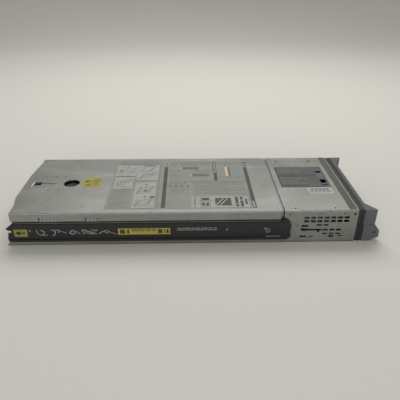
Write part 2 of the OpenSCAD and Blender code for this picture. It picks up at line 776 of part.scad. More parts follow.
module io_connector() color("#2b2c30") seat() {
    x0 = frame_x - 12;
    difference() {
        blk([x0, io_y, io_z], [plate_x + 0.3, io_y + io_w, io_z + io_h]);
        blk([x0 + 4, io_y + 1.2, io_z + 1.4], [plate_x + 1, io_y + io_w - 1.2, io_z + io_h - 1.4]);
    }
    blk([x0 + 3.5, io_y + io_w / 2 - 0.4, io_z + 3], [x0 + 6, io_y + io_w / 2 + 0.4, io_z + io_h - 3]);
    blk([x0 - 8, io_y + 1, board_top], [x0 + 2, io_y + io_w - 1, io_z + io_h - 4]);
}

module pull_tab() color("gainsboro") seat() {
    blk([tab_x, tab_y, tab_z], [plate_x + 0.4, tab_y + tab_w, tab_z + tab_t]);
    difference() {
        blk([plate_x + 0.3, tab_y, tab_z - 0.6], [plate_x + 4, tab_y + tab_w, tab_z + tab_t + 0.6]);
        for (i = [0:7])
            blk([plate_x + 1.2, tab_y + 3 + i * 4, tab_z - 0.9], [plate_x + 3.2, tab_y + 5 + i * 4, tab_z - 0.2]);
    }
}

module tab_guide() color("#3a3c40") seat() {
    under = cover_under - seal_t;
    y0 = tab_y - slide_gap - 1.6;
    y1 = tab_y + tab_w + slide_gap + 1.6;
    x1 = body_len - 4;
    difference() {
        union() {
            blk([guide_x, y0, under - 1], [x1, guide_screw_y + 6, under]);
            for (x = guide_screw_x)
                rod_z([x, guide_screw_y, under - 1], 4, 1 + seal_t);
            for (s = [0, 1]) {
                wy = s == 0 ? y0 : y1 - 1.6;
                ly = s == 0 ? y0 : y1 - 4.6;
                blk([guide_x, wy, tab_z - 1.6], [x1, wy + 1.6, under - 0.5]);
                blk([guide_x, ly, tab_z - 1.6], [x1, ly + 4.6, tab_z - seat_gap]);
            }
        }
        for (x = guide_screw_x)
            rod_z([x, guide_screw_y, under - 2], 1.5 + pin_gap, 4);
    }
}

module guide_screws() color("#4a4c4e") seat()
    for (x = guide_screw_x) {
        difference() {
            rod_z([x, guide_screw_y, body_h], 2.6, 0.7);
            translate([x, guide_screw_y, body_h + 0.2])
                cylinder(h = 2, r = 1.1, $fn = 6);
        }
        rod_z([x, guide_screw_y, cover_under - seal_t - 2], 1.5, sheet_t + seal_t + 2 + eps);
    }

// ---- Drives ----

module drive_cage() color("lightsteelblue") seat() {
    x0 = backplane_x + backplane_t + seat_gap;
    y0 = bay_y - cage_t;
    y1 = bay_y + bay_w + cage_t;
    mid_z = bay_z + carrier_h + 2 * slide_gap;
    difference() {
        bar_x(x0, body_len - 0.5 - x0) difference() {
            translate([y0, sheet_t])
                square([y1 - y0, bay_h + 2 * cage_t]);
            translate([bay_y, bay_z])
                square([bay_w, mid_z - bay_z]);
            translate([bay_y, mid_z + cage_t])
                square([bay_w, mid_z - bay_z]);
        }
        // Air slots in both sides and the shelf
        for (i = [0:6], z = [bay_z + 7, mid_z + cage_t + 7])
            blk([x0 + 22 + i * 12, y0 - 1, z], [x0 + 30 + i * 12, y1 + 1, z + 8]);
        for (i = [0:2])
            blk([x0 + 20 + i * 30, bay_y + 18, mid_z - 1], [x0 + 42 + i * 30, bay_y + bay_w - 18, mid_z + 2]);
    }
}

module drive_backplane() color("darkgreen") seat() {
    y0 = bay_y - 3;
    y1 = bay_y + bay_w + 1;
    difference() {
        blk([backplane_x, y0, sheet_t + seat_gap], [backplane_x + backplane_t, y1, bay_z + bay_h]);
        for (z = drive_z)
            for (i = [0:3])
                rod_x([backplane_x - 1, bay_y + bay_w - 6 - i * 6, z + carrier_h / 2 + 6], 2, 4);
    }
    // Plug into the system board
    blk([backplane_x - 4, bay_y + 8, board_top], [backplane_x + eps, bay_y + 48, board_top + 9]);
    for (z = drive_z)
        blk([backplane_x - 1.2, y0 + 54, z + 4], [backplane_x + eps, y0 + 62, z + 12]);
}

// A drive's plug sits this far from the carrier's near side and above its underside
plug_y = 16;
plug_w = 42;
plug_z = 6;

module drive_sockets() color("#26282b") seat()
    for (z = drive_z) difference() {
        blk([backplane_x + backplane_t, drive_y + plug_y - 1.6, z + plug_z - 2],
            [backplane_x + backplane_t + socket_len, drive_y + plug_y + plug_w + 1.6, z + plug_z + 4]);
        blk([backplane_x + backplane_t + 4, drive_y + plug_y - 0.4, z + plug_z - 0.4],
            [backplane_x + backplane_t + socket_len + 1, drive_y + plug_y + plug_w + 0.4, z + plug_z + 2.4]);
    }

module drive_carrier(z) seat() {
    arm_x = disk_x + 6;
    lever_z0 = z + 3;
    difference() {
        union() {
            translate([face_x, drive_y, z])
                bar_x(0, face_len)
                    rounded(carrier_w, carrier_h, 1.2);
            for (y = [drive_y, drive_y + carrier_w - carrier_arm])
                blk([arm_x, y, z + 1], [face_x + 1, y + carrier_arm, z + carrier_h - 3]);
        }
        // Pocket for lever and button, pivot bore, vent slots and the long cut-outs in the arms
        blk([face_x + face_len - pocket_d, drive_y + 2, z + 3], [face_x + face_len + 1, drive_y + carrier_w - 2,
            z + carrier_h - 3]);
        rod_z([catch_pivot_x, drive_y + catch_pivot_in, z + 1.5], 1.2 + pin_gap, carrier_h - 3);
        blk([face_x + face_len - pocket_d - 3, drive_y + carrier_w - 2 - catch_w - 2 * slide_gap, z + 4],
            [face_x + face_len, drive_y + carrier_w - 2, z + carrier_h - 4]);
        for (i = [0:4])
            blk([face_x - 1, drive_y + 14 + i * 9, z + 5], [face_x + face_len, drive_y + 20 + i * 9, z + carrier_h - 5]);
        for (i = [0:2])
            blk([arm_x + 8 + i * 28, drive_y - 1, z + 8], [arm_x + 28 + i * 28, drive_y + carrier_w + 1, z + 13]);
        for (x = disk_screw_x, y = [drive_y - 1, drive_y + carrier_w - carrier_arm - 1])
            rod_y([x, y, z + disk_screw_z], 1.5 + pin_gap, carrier_arm + 2);
    }
}

disk_screw_x = [disk_x + 14, disk_x + 90.6];
disk_screw_z = 4.5;
catch_pivot_in = 6.5;
catch_pivot_x = face_x + face_len - 2.4;

module drive_disk(z) seat() {
    y0 = drive_y + (carrier_w - disk_w) / 2;
    difference() {
        union() {
            translate([disk_x, y0, z + 1.5])
                linear_extrude(disk_h)
                    rounded(disk_len, disk_w, 1.5);
            blk([disk_x - plug_len, drive_y + plug_y, z + plug_z], [disk_x + 1, drive_y + plug_y + plug_w, z + plug_z + 2]);
            rod_z([disk_x + 62, y0 + disk_w / 2, z + 1.5 + disk_h - eps], 27, 0.5);
        }
        rod_z([disk_x + 62, y0 + disk_w / 2, z + 1.5 + disk_h - 0.1], 13, 1);
        for (x = disk_screw_x, y = [y0 - 1, y0 + disk_w - 3])
            rod_y([x, y, z + disk_screw_z], 1.4 + pin_gap, 4);
    }
}

module drive_screws(z) seat() {
    for (x = disk_screw_x, s = [0, 1])
        translate([x, drive_y + s * carrier_w, z + disk_screw_z])
            mirror([0, s, 0])
                rod_y([0, 0.2, 0], 1.4, carrier_arm + seat_gap + 1.8);
}

module drive_lever(z) seat() {
    z0 = z + 3 + slide_gap;
    h = carrier_h - 6 - 2 * slide_gap;
    len = carrier_w - 4 - catch_w - 4 * slide_gap;
    difference() {
        union() {
            translate([0, 0, z0])
                linear_extrude(h) {
                    translate([catch_pivot_x, drive_y + catch_pivot_in])
                        circle(2.1);
                    translate([catch_pivot_x - 1.6, drive_y + catch_pivot_in])
                        square([3.6, len - catch_pivot_in + 2]);
                }
            rod_z([catch_pivot_x, drive_y + catch_pivot_in, z + 1.5 + seat_gap], 1.2, carrier_h - 3 - 2 * seat_gap);
        }
        // Long windows and a thumb hollow at the free end
        for (i = [0:2])
            blk([catch_pivot_x - 3, drive_y + 14 + i * 13, z0 + 3.2], [catch_pivot_x + 3, drive_y + 23 + i * 13, z0 + h - 3.2]);
        rod_z([catch_pivot_x - 2.6, drive_y + len - 3, z0 - 1], 2.4, h + 2);
    }
}

module drive_button(z) seat() {
    y1 = drive_y + carrier_w - 2 - slide_gap;
    back = face_x + face_len - pocket_d - 3 + catch_travel + 0.4;
    difference() {
        blk([back, y1 - catch_w, z + 4.5], [face_x + face_len + 0.2, y1, z + carrier_h - 4.5]);
        for (i = [0:2])
            blk([face_x + face_len - 0.4, y1 - catch_w + 1.4 + i * 2.2, z + 6],
                [face_x + face_len + 1, y1 - catch_w + 2.4 + i * 2.2, z + carrier_h - 6]);
    }
}

module drive_1_carrier() color("#8d8f92") drive_carrier(drive_z[0]);
module drive_2_carrier() color("#8d8f92") drive_carrier(drive_z[1]);
module drive_1_disk() color("silver") drive_disk(drive_z[0]);
module drive_2_disk() color("silver") drive_disk(drive_z[1]);
module drive_1_screws() color("gray") drive_screws(drive_z[0]);
module drive_2_screws() color("gray") drive_screws(drive_z[1]);
module drive_1_lever() color("#6f6a80") drive_lever(drive_z[0]);
module drive_2_lever() color("#6f6a80") drive_lever(drive_z[1]);
module drive_1_button() color("#7a3b52") drive_button(drive_z[0]);
module drive_2_button() color("#7a3b52") drive_button(drive_z[1]);

// ---- System board ----

module system_board() color("darkgreen") seat() {
    difference() {
        translate([0, 0, board_z])
            linear_extrude(board_t)
                polygon([[board_x, board_y], [board_end, board_y], [board_end, mid_y], [tongue_x, mid_y],
                    [tongue_x, body_w - board_y], [board_x, body_w - board_y]]);
        for (p = stud_xy)
            rod_z([p[0], p[1], board_z - 1], 1.7, 4);
    }
    // Controllers and memory power parts
    for (p = [[power_x + 10, 20, 14], [power_x + 28, body_w - 51, 10], [power_x + 30, 100, 9],
        [board_end - 18, body_w - 29, 10], [body_len - 61, mid_y + 32, 12], [body_len - 81, mid_y + 12, 9]])
        blk([p[0], p[1], board_top - eps], [p[0] + p[2], p[1] + p[2], board_top + 1.4]);
}

module board_standoffs() color("goldenrod") seat()
    for (p = stud_xy) difference() {
        translate([p[0], p[1], sheet_t])
            cylinder(h = board_gap, r = 3, $fn = 6);
        rod_z([p[0], p[1], sheet_t + 1], 1.5 + pin_gap, board_gap);
    }

module board_screws() color("silver") seat()
    for (p = stud_xy) difference() {
        union() {
            rod_z([p[0], p[1], sheet_t + 1.6], 1.5, board_top - sheet_t - 1.6 + eps);
            rod_z([p[0], p[1], board_top], 2.8, 1.8);
        }
        translate([p[0], p[1], board_top + 0.8])
            cylinder(h = 2, r = 1.2, $fn = 6);
    }

module processor_sockets() color("#c9c4b4") seat()
    for (x = sink_x) {
        cx = x + sink_len / 2;
        cy = body_w / 2;
        difference() {
            blk([cx - 29, cy - 26, board_top], [cx + 29, cy + 26, board_top + cpu_socket_h]);
            blk([cx - 23, cy - 21.5, board_top + 2], [cx + 23, cy + 21.5, board_top + cpu_socket_h + 1]);
        }
    }

module processors() color("darkkhaki") seat()
    for (x = sink_x) {
        cx = x + sink_len / 2;
        cy = body_w / 2;
        blk([cx - 22.5, cy - 21, board_top + 2], [cx + 22.5, cy + 21, board_top + cpu_socket_h - 0.4]);
        translate([cx - 19, cy - 17.5, board_top + cpu_socket_h - 0.5])
            linear_extrude(cpu_h + 0.5)
                rounded(38, 35, 2);
    }

// Fins across a width, on a base, run along x
module finned(x, y, z, len, w, base, fin_h, pitch, fin_t) {
    n = floor((w - fin_t) / pitch);
    side = (w - n * pitch - fin_t) / 2;
    bar_x(x, len) union() {
        translate([y, z])
            square([w, base]);
        for (i = [0:n])
            translate([y + side + i * pitch, z + base - eps])
                square([fin_t, fin_h + eps]);
    }
}

module cpu_sink(x) seat() difference() {
    finned(x, sink_y, sink_z, sink_len, sink_w, sink_base, sink_fin_h, sink_pitch, 0.6);
    for (p = sink_screw_at(x)) {
        rod_z([p[0], p[1], sink_z - 1], 2 + pin_gap, sink_base + 2);
        rod_z([p[0], p[1], sink_z + sink_base], 4.6, sink_fin_h + 1);
    }
}

function sink_screw_at(x) = [for (i = [7, sink_len - 7], j = [7, sink_w - 7]) [x + i, sink_y + j]];

module heatsink_front() color("lightgray") cpu_sink(sink_x[1]);
module heatsink_rear() color("lightgray") cpu_sink(sink_x[0]);

module heatsink_screws() color("gray") seat()
    for (x = sink_x, p = sink_screw_at(x)) {
        rod_z([p[0], p[1], board_top], 2, sink_z - board_top + sink_base + eps);
        difference() {
            rod_z([p[0], p[1], sink_z + sink_base], 3.8, 5);
            translate([p[0], p[1], sink_z + sink_base + 2.5])
                cylinder(h = 4, r = 1.8, $fn = 6);
        }
    }

// Memory: sockets with end towers, modules with chips, and the latches in the towers
module each_dimm() {
    for (y0 = dimm_y, i = [0 : dimm_n - 1])
        translate([dimm_x, y0 + i * dimm_pitch, 0])
            children();
}

module memory_sockets() color("#1f2a44") seat() each_dimm() difference() {
    union() {
        blk([0, 0, board_top], [dimm_total, dimm_socket_w, board_top + dimm_socket_h]);
        for (x = [0, dimm_total - latch_len - 2])
            blk([x, 0, board_top], [x + latch_len + 2, dimm_socket_w, board_top + 13]);
    }
    // Card slot and the latch pockets, open at both ends
    blk([latch_len - 0.3, dimm_socket_w / 2 - dimm_t / 2 - 0.15, board_top + dimm_lift - 0.3],
        [dimm_total - latch_len + 0.3, dimm_socket_w / 2 + dimm_t / 2 + 0.15, board_top + 40]);
    for (x = [-1, dimm_total - latch_len])
        blk([x, cheek_t, board_top + 1.2], [x + latch_len + 1, dimm_socket_w - cheek_t, board_top + 40]);
}

module memory_modules() color("seagreen") seat() each_dimm() {
    y = dimm_socket_w / 2;
    z = board_top + dimm_lift;
    difference() {
        blk([latch_len, y - dimm_t / 2, z], [latch_len + dimm_len, y + dimm_t / 2, z + dimm_h]);
        for (x = [latch_len, latch_len + dimm_len])
            rod_y([x, -1, z + 17], 1.5, dimm_socket_w + 2);
        blk([latch_len + 55, -1, z - 1], [latch_len + 57.4, dimm_socket_w + 1, z + 3.6]);
    }
    chip_w = 8;
    chip_end = 7;
    chip_step = (dimm_len - 2 * chip_end - chip_w) / 8;
    for (i = [0:8])
        blk([latch_len + chip_end + i * chip_step, y - dimm_t / 2 - 1.1, z + dimm_h - 16],
            [latch_len + chip_end + chip_w + i * chip_step, y + dimm_t / 2 + 1.1, z + dimm_h - 5]);
}

// One latch, seen along y, with its round foot at the pivot
module memory_latch(end) {
    y0 = cheek_t + 0.2;
    w = dimm_socket_w - 2 * cheek_t - 0.4;
    px = end == 0 ? latch_pivot_in : dimm_total - latch_pivot_in;
    translate([px, 0, latch_pivot_z])
        mirror([end, 0, 0])
            translate([0, y0 + w, 0])
                rotate([90, 0, 0])
                    linear_extrude(w) {
                        circle(2.2);
                        polygon([[-2.2, 0], [2.2, 0], [2.6, 9], [latch_len - latch_pivot_in - 0.4, 11],
                            [latch_len - latch_pivot_in - 0.4, 14], [2.4, latch_h], [-3.4, latch_h], [-3.4, latch_h - 2]]);
                    }
}

module memory_latches_front() color("whitesmoke") seat() each_dimm() memory_latch(1);
module memory_latches_rear() color("whitesmoke") seat() each_dimm() memory_latch(0);

// ---- Mezzanine cards and rear connectors ----

function mezz_stud_at(y) = [for (i = [mezz_inset, mezz_len - mezz_inset], j = [mezz_inset, mezz_w - mezz_inset])
    [mezz_x + i, y + j]];

module mezzanine_sockets() color("#26282b") seat()
    for (y = mezz_y)
        blk([mezz_x + mezz_len - 30, y + 14, board_top], [mezz_x + mezz_len - 16, y + mezz_w - 14, mezz_z]);

module mezzanine_standoffs() color("goldenrod") seat()
    for (y = mezz_y, p = mezz_stud_at(y)) {
        rod_z([p[0], p[1], board_top], 2.6, mezz_gap);
        rod_z([p[0], p[1], board_top], 1.4, mezz_gap + 2.2);
        rod_z([p[0], p[1], mezz_z + board_t], 2.5, 1.4);
    }

module mezz_card(y) seat() {
    difference() {
        translate([mezz_x, y, mezz_z])
            linear_extrude(board_t)
                rounded(mezz_len, mezz_w, 2);
        for (p = mezz_stud_at(y))
            rod_z([p[0], p[1], mezz_z - 1], 1.4 + pin_gap, 4);
    }
    finned(mezz_x + 18, y + mezz_w / 2 - 19, mezz_z + board_t - eps, 38, 38, 2.4, 7, 3.6, 1);
    for (i = [0:3])
        blk([mezz_x + 68, y + 12 + i * 14, mezz_z + board_t - eps], [mezz_x + 78, y + 20 + i * 14, mezz_z + board_t + 1.2]);
}

module mezzanine_card_near() color("darkgreen") mezz_card(mezz_y[0]);
module mezzanine_card_far() color("darkgreen") mezz_card(mezz_y[1]);

// Rear connectors stand on the board and reach through the bracket's windows: [y0, y1, top]
rear_windows = [[24, 66, 28], [74, 100, 24], [112, 154, 28]];
rear_plug_x = -rear_lip + 3;

module signal_connectors() color("#c8bfa8") seat()
    for (w = [rear_windows[0], rear_windows[2]]) difference() {
        blk([rear_plug_x, w[0], board_top], [board_x + 11, w[1], w[2]]);
        for (i = [0:9], j = [0:4])
            blk([rear_plug_x - 1, w[0] + 2.4 + i * 3.9, board_top + 2.4 + j * 3.6],
                [rear_plug_x + 7, w[0] + 4.4 + i * 3.9, board_top + 4 + j * 3.6]);
    }

module power_connector() color("#26282b") seat() {
    w = rear_windows[1];
    difference() {
        blk([rear_plug_x, w[0], board_top], [board_x + 11, w[1], w[2]]);
        for (i = [0:2])
            blk([rear_plug_x - 1, w[0] + 2.6 + i * 8, board_top + 2.4], [rear_plug_x + 9, w[0] + 7.4 + i * 8, w[2] - 2.4]);
    }
}

battery_at = [power_x + 18, 95];
battery_r = 10;

module battery_holder() color("#26282b") seat() {
    c = battery_at;
    difference() {
        rod_z([c[0], c[1], board_top], battery_r + 2, 4.4);
        rod_z([c[0], c[1], board_top + 1], battery_r + seat_gap, 5);
        blk([c[0] + 4, c[1] - 4, board_top + 1], [c[0] + 14, c[1] + 4, board_top + 6]);
    }
}

module coin_battery() color("silver") seat() {
    rod_z([battery_at[0], battery_at[1], board_top + 1], battery_r, 2.6);
    rod_z([battery_at[0], battery_at[1], board_top + 1], battery_r - 1.2, 3.2);
}

module chipset_heatsink() color("lightgray") seat()
    finned(power_x, 48, board_top, 34, 30, 3, 9, 3, 0.9);

choke_w = 10.5;
choke_h = 7;
choke_pitch = 13;

module power_chokes() color("#55585c") seat()
    for (i = [0:4])
        translate([power_x + (i % 2) * choke_pitch, body_w - 55 + floor(i / 2) * choke_pitch, board_top])
            linear_extrude(choke_h)
                rounded(choke_w, choke_w, 1.5);

base_tray();
front_shell();
access_cover();
latch_bracket();
cover_latch();
latch_rivets();
side_clips();
emi_gasket();
side_rail();
rail_rivets();
rear_bracket();
bezel_frame();
front_bezel();
bezel_rivets();
release_lever();
lever_pin();
release_button();
power_button();
power_switch();
light_pipes();
io_connector();
pull_tab();
tab_guide();
guide_screws();
drive_cage();
drive_backplane();
drive_sockets();
drive_1_carrier();
drive_1_disk();
drive_1_screws();
drive_1_lever();
drive_1_button();
drive_2_carrier();
drive_2_disk();
drive_2_screws();
drive_2_lever();
drive_2_button();
system_board();
board_standoffs();
board_screws();
processor_sockets();
processors();
heatsink_front();
heatsink_rear();
heatsink_screws();
memory_sockets();
memory_modules();
memory_latches_front();
memory_latches_rear();
mezzanine_sockets();
mezzanine_card_near();
mezzanine_card_far();
mezzanine_standoffs();
signal_connectors();
power_connector();
battery_holder();
coin_battery();
chipset_heatsink();
power_chokes();
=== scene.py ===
"""Dresses a half-height blade server: its metals, plastics, seal, labels and printed marks.

Lengths are in metres unless a name ends in _mm. Places on the casing are measured from the rear edge,
the guide rail side and the floor of the metal body, as its maker's drawing would give them.
"""

import logging
import math
from collections.abc import Sequence
from dataclasses import dataclass, field
from enum import Enum

import bpy
from mathutils import Euler, Matrix, Vector


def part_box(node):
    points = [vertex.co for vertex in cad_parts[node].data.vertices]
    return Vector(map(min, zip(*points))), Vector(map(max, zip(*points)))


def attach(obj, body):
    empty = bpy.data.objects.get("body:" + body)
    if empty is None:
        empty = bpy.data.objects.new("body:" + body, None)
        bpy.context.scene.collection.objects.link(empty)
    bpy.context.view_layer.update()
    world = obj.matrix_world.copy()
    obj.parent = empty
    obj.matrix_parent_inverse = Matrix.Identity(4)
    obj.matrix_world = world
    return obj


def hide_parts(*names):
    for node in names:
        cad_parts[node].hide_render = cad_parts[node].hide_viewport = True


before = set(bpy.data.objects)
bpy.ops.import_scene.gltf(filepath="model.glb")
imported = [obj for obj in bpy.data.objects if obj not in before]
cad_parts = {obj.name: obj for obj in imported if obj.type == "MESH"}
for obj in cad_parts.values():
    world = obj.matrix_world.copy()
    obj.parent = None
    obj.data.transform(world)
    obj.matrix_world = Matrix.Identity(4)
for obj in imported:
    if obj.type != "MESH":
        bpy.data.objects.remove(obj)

logging.basicConfig(level=logging.INFO, format="%(levelname)s %(message)s")
log = logging.getLogger("blade_server")

MM = 0.001
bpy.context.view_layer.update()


# ---- Colours and shader nodes ----


def linear(code: str) -> tuple[float, float, float, float]:
    """Turns an sRGB hex colour into the linear colour that shaders take.

    Args:
        code: A colour such as "#8e908a".

    Returns:
        Red, green, blue and alpha, with alpha 1.
    """
    parts = [int(code[i:i + 2], 16) / 255 for i in (1, 3, 5)]
    red, green, blue = (p / 12.92 if p <= 0.04045 else ((p + 0.055) / 1.055) ** 2.4 for p in parts)
    return red, green, blue, 1.0


def add(tree: bpy.types.NodeTree, kind: str, values: dict | None = None, links: dict | None = None,
        **settings: object) -> bpy.types.Node:
    """Adds a shader node with its settings, socket values and incoming links.

    Args:
        tree: The material's node tree.
        kind: The node's type without its ShaderNode prefix.
        values: Socket name or number to value.
        links: Socket name or number to the output socket that feeds it.
        settings: Attributes of the node itself.

    Returns:
        The new node.
    """
    node = tree.nodes.new("ShaderNode" + kind)
    for key, value in settings.items():
        setattr(node, key, value)
    for key, value in (values or {}).items():
        node.inputs[key].default_value = value
    for key, source in (links or {}).items():
        tree.links.new(source, node.inputs[key])
    return node


def ramp(tree: bpy.types.NodeTree, source: bpy.types.NodeSocket, stops: Sequence[tuple[float, str]]
         ) -> bpy.types.NodeSocket:
    """Maps a 0 to 1 value to colours.

    Args:
        tree: The material's node tree.
        source: The value.
        stops: Places along the ramp with their hex colours.

    Returns:
        The colour output.
    """
    node = add(tree, "ValToRGB", links={"Fac": source})
    band = node.color_ramp
    while len(band.elements) < len(stops):
        band.elements.new(0.5)
    for element, (place, code) in zip(band.elements, stops):
        element.position = place
        element.color = linear(code)
    return node.outputs["Color"]


class Blend(Enum):
    """How one colour lies over another."""

    OVER = "MIX"


def mix(tree: bpy.types.NodeTree, amount: bpy.types.NodeSocket | float, low: bpy.types.NodeSocket | str,
        high: bpy.types.NodeSocket | str, how: Blend = Blend.OVER) -> bpy.types.NodeSocket:
    """Mixes two colours, each a socket or a hex colour.

    Args:
        tree: The material's node tree.
        amount: Share of the second colour.
        low: First colour.
        high: Second colour.
        how: The way they mix.

    Returns:
        The colour output.
    """
    node = add(tree, "Mix", data_type="RGBA", blend_type=how.value)
    for key, source in ((0, amount), (6, low), (7, high)):
        if isinstance(source, str):
            node.inputs[key].default_value = linear(source)
        elif isinstance(source, float):
            node.inputs[key].default_value = source
        else:
            tree.links.new(source, node.inputs[key])
    return node.outputs[2]


def place(tree: bpy.types.NodeTree, size_mm: Sequence[float], turn: float = 0.0) -> bpy.types.NodeSocket:
    """Object coordinates in which one unit is the given size.

    Args:
        tree: The material's node tree.
        size_mm: Length of one unit along x, y and z.
        turn: Turn about z, in degrees.

    Returns:
        The vector output.
    """
    coords = add(tree, "TexCoord")
    turned = add(tree, "Mapping", values={"Rotation": (0.0, 0.0, math.radians(turn))},
                 links={"Vector": coords.outputs["Object"]})
    scale = tuple(1 / (size * MM) for size in size_mm)
    mapping = add(tree, "Mapping", values={"Scale": scale}, links={"Vector": turned.outputs["Vector"]})
    return mapping.outputs["Vector"]


def noise(tree: bpy.types.NodeTree, vector: bpy.types.NodeSocket, detail: float = 3.0,
          distortion: float = 0.0) -> bpy.types.NodeSocket:
    """A noise value over a vector whose unit is the size of one blob."""
    node = add(tree, "TexNoise", values={"Scale": 1.0, "Detail": detail, "Distortion": distortion},
               links={"Vector": vector})
    return node.outputs["Fac"]


def between(tree: bpy.types.NodeTree, source: bpy.types.NodeSocket, low: float, high: float,
            to_low: float = 0.0, to_high: float = 1.0) -> bpy.types.NodeSocket:
    """Stretches a value from one range to another, held at both ends."""
    limits = {"From Min": low, "From Max": high, "To Min": to_low, "To Max": to_high}
    node = add(tree, "MapRange", values=limits,
               links={"Value": source})
    return node.outputs["Result"]


def times(tree: bpy.types.NodeTree, first: bpy.types.NodeSocket, second: bpy.types.NodeSocket | float
          ) -> bpy.types.NodeSocket:
    """The product of two values."""
    node = add(tree, "Math", operation="MULTIPLY", links={0: first})
    if isinstance(second, float):
        node.inputs[1].default_value = second
    else:
        tree.links.new(second, node.inputs[1])
    return node.outputs[0]


def edges(tree: bpy.types.NodeTree, width_mm: float) -> bpy.types.NodeSocket:
    """A mask that is 1 on sharp edges and 0 on flats.

    Args:
        tree: The material's node tree.
        width_mm: How far from an edge the mask reaches.

    Returns:
        The value output.
    """
    soft = add(tree, "Bevel", values={"Radius": width_mm * MM}, samples=6)
    sharp = add(tree, "NewGeometry")
    alike = add(tree, "VectorMath", operation="DOT_PRODUCT",
                links={0: soft.outputs["Normal"], 1: sharp.outputs["Normal"]})
    return between(tree, alike.outputs["Value"], 0.99, 0.75)


def painted_shade_mask(tree: bpy.types.NodeTree, reach_mm: float, low: float = 0.25, high: float = 0.85
             ) -> bpy.types.NodeSocket:
    """A mask for painted shade: 1 in the open, falling to 0 in gaps, slots and corners, where the finishes
    paint dark colour in place of shade.

    Args:
        tree: The material's node tree.
        reach_mm: How far a neighbouring surface still counts.
        low: Openness that gives 0.
        high: Openness that gives 1.

    Returns:
        The value output.
    """
    node = add(tree, "AmbientOcclusion", values={"Distance": reach_mm * MM}, samples=8)
    return between(tree, node.outputs["AO"], low, high)


@dataclass(frozen=True)
class Finish:
    """A finish that makes one material; each kind paints it in its own way."""

    name: str

    def material(self) -> bpy.types.Material:
        """The finish's material, made once."""
        made = bpy.data.materials.get(self.name)
        if made:
            return made
        made = bpy.data.materials.new(self.name)
        made.use_nodes = True
        tree = made.node_tree
        shader = tree.nodes["Principled BSDF"]
        self.paint(tree, shader)
        return made

    def paint(self, tree: bpy.types.NodeTree, shader: bpy.types.Node) -> None:
        """Links the finish's nodes to the shader."""
        raise NotImplementedError

    @staticmethod
    def bump(tree: bpy.types.NodeTree, shader: bpy.types.Node, height: bpy.types.NodeSocket, depth_mm: float,
             strength: float = 1.0) -> None:
        """Gives the shader a bump from a height value of the given depth."""
        node = add(tree, "Bump", values={"Strength": strength, "Distance": depth_mm * MM},
                   links={"Height": height})
        tree.links.new(node.outputs["Normal"], shader.inputs["Normal"])


@dataclass(frozen=True)
class SheetSteel(Finish):
    """Zinc-coated sheet steel: dull, with faint crystals, rolling grain, smudges and hairline scratches."""

    body: str = "#8f918b"
    dark: str = "#7f827c"
    light: str = "#a3a5a0"
    roughness: float = 0.42
    metallic: float = 0.7
    crystal_mm: float = 2.4
    scratches: float = 0.5
    smudges: float = 0.5

    def paint(self, tree: bpy.types.NodeTree, shader: bpy.types.Node) -> None:
        """Zinc crystals, grain, smudges, scratches, painted highlights along edges and painted shade in gaps
        and corners.
        """
        crystal = add(tree, "TexVoronoi", values={"Scale": 1.0, "Randomness": 1.0},
                      links={"Vector": place(tree, (self.crystal_mm * 1.6, self.crystal_mm,
                                                    self.crystal_mm))})
        grain = noise(tree, place(tree, (14, 0.8, 0.8)), 4.0)
        smudge = noise(tree, place(tree, (70, 38, 30)), 5.0, 0.6)
        base = ramp(tree, crystal.outputs["Color"], ((0.0, self.dark), (1.0, self.light)))
        base = mix(tree, 0.72, base, self.body)
        base = mix(tree, times(tree, between(tree, grain, 0.35, 0.7), 0.35), base, self.dark)
        patch = times(tree, between(tree, smudge, 0.5, 0.72), self.smudges)
        base = mix(tree, patch, base, self.light)
        lines = self.hairlines(tree)
        base = mix(tree, times(tree, lines, self.scratches), base, "#c4c6c1")
        # Painted highlight: a paler colour along sharp edges stands in for light catching them.
        rim = edges(tree, 0.9)
        base = mix(tree, times(tree, rim, 0.35), base, "#b9bbb6")
        specks = between(tree, noise(tree, place(tree, (2.2, 1.4, 1.4)), 2.0), 0.68, 0.76)
        base = mix(tree, times(tree, specks, 0.5), base, "#5d605b")
        # Painted shade: near-black colour painted into gaps, slots and corners in place of the shade that
        # falls there.
        base = mix(tree, painted_shade_mask(tree, 5.0), "#141615", base)
        tree.links.new(base, shader.inputs["Base Color"])
        shader.inputs["Metallic"].default_value = self.metallic
        rough = between(tree, smudge, 0.3, 0.75, self.roughness - 0.07, self.roughness + 0.1)
        tree.links.new(rough, shader.inputs["Roughness"])
        self.bump(tree, shader, grain, 0.03, 0.5)

    @staticmethod
    def hairlines(tree: bpy.types.NodeTree) -> bpy.types.NodeSocket:
        """Fine scratches in two directions, only where a slow noise lets them show."""
        total = None
        for turn, length in ((24, 26), (-61, 34)):
            streak = noise(tree, place(tree, (length, 0.5, 0.5), turn), 2.0, 0.2)
            line = between(tree, streak, 0.66, 0.72)
            where = between(tree, noise(tree, place(tree, (31, 27, 30), turn), 1.0), 0.5, 0.6)
            line = times(tree, line, where)
            if total is None:
                total = line
            else:
                total = add(tree, "Math", operation="MAXIMUM", links={0: total, 1: line}).outputs[0]
        return total


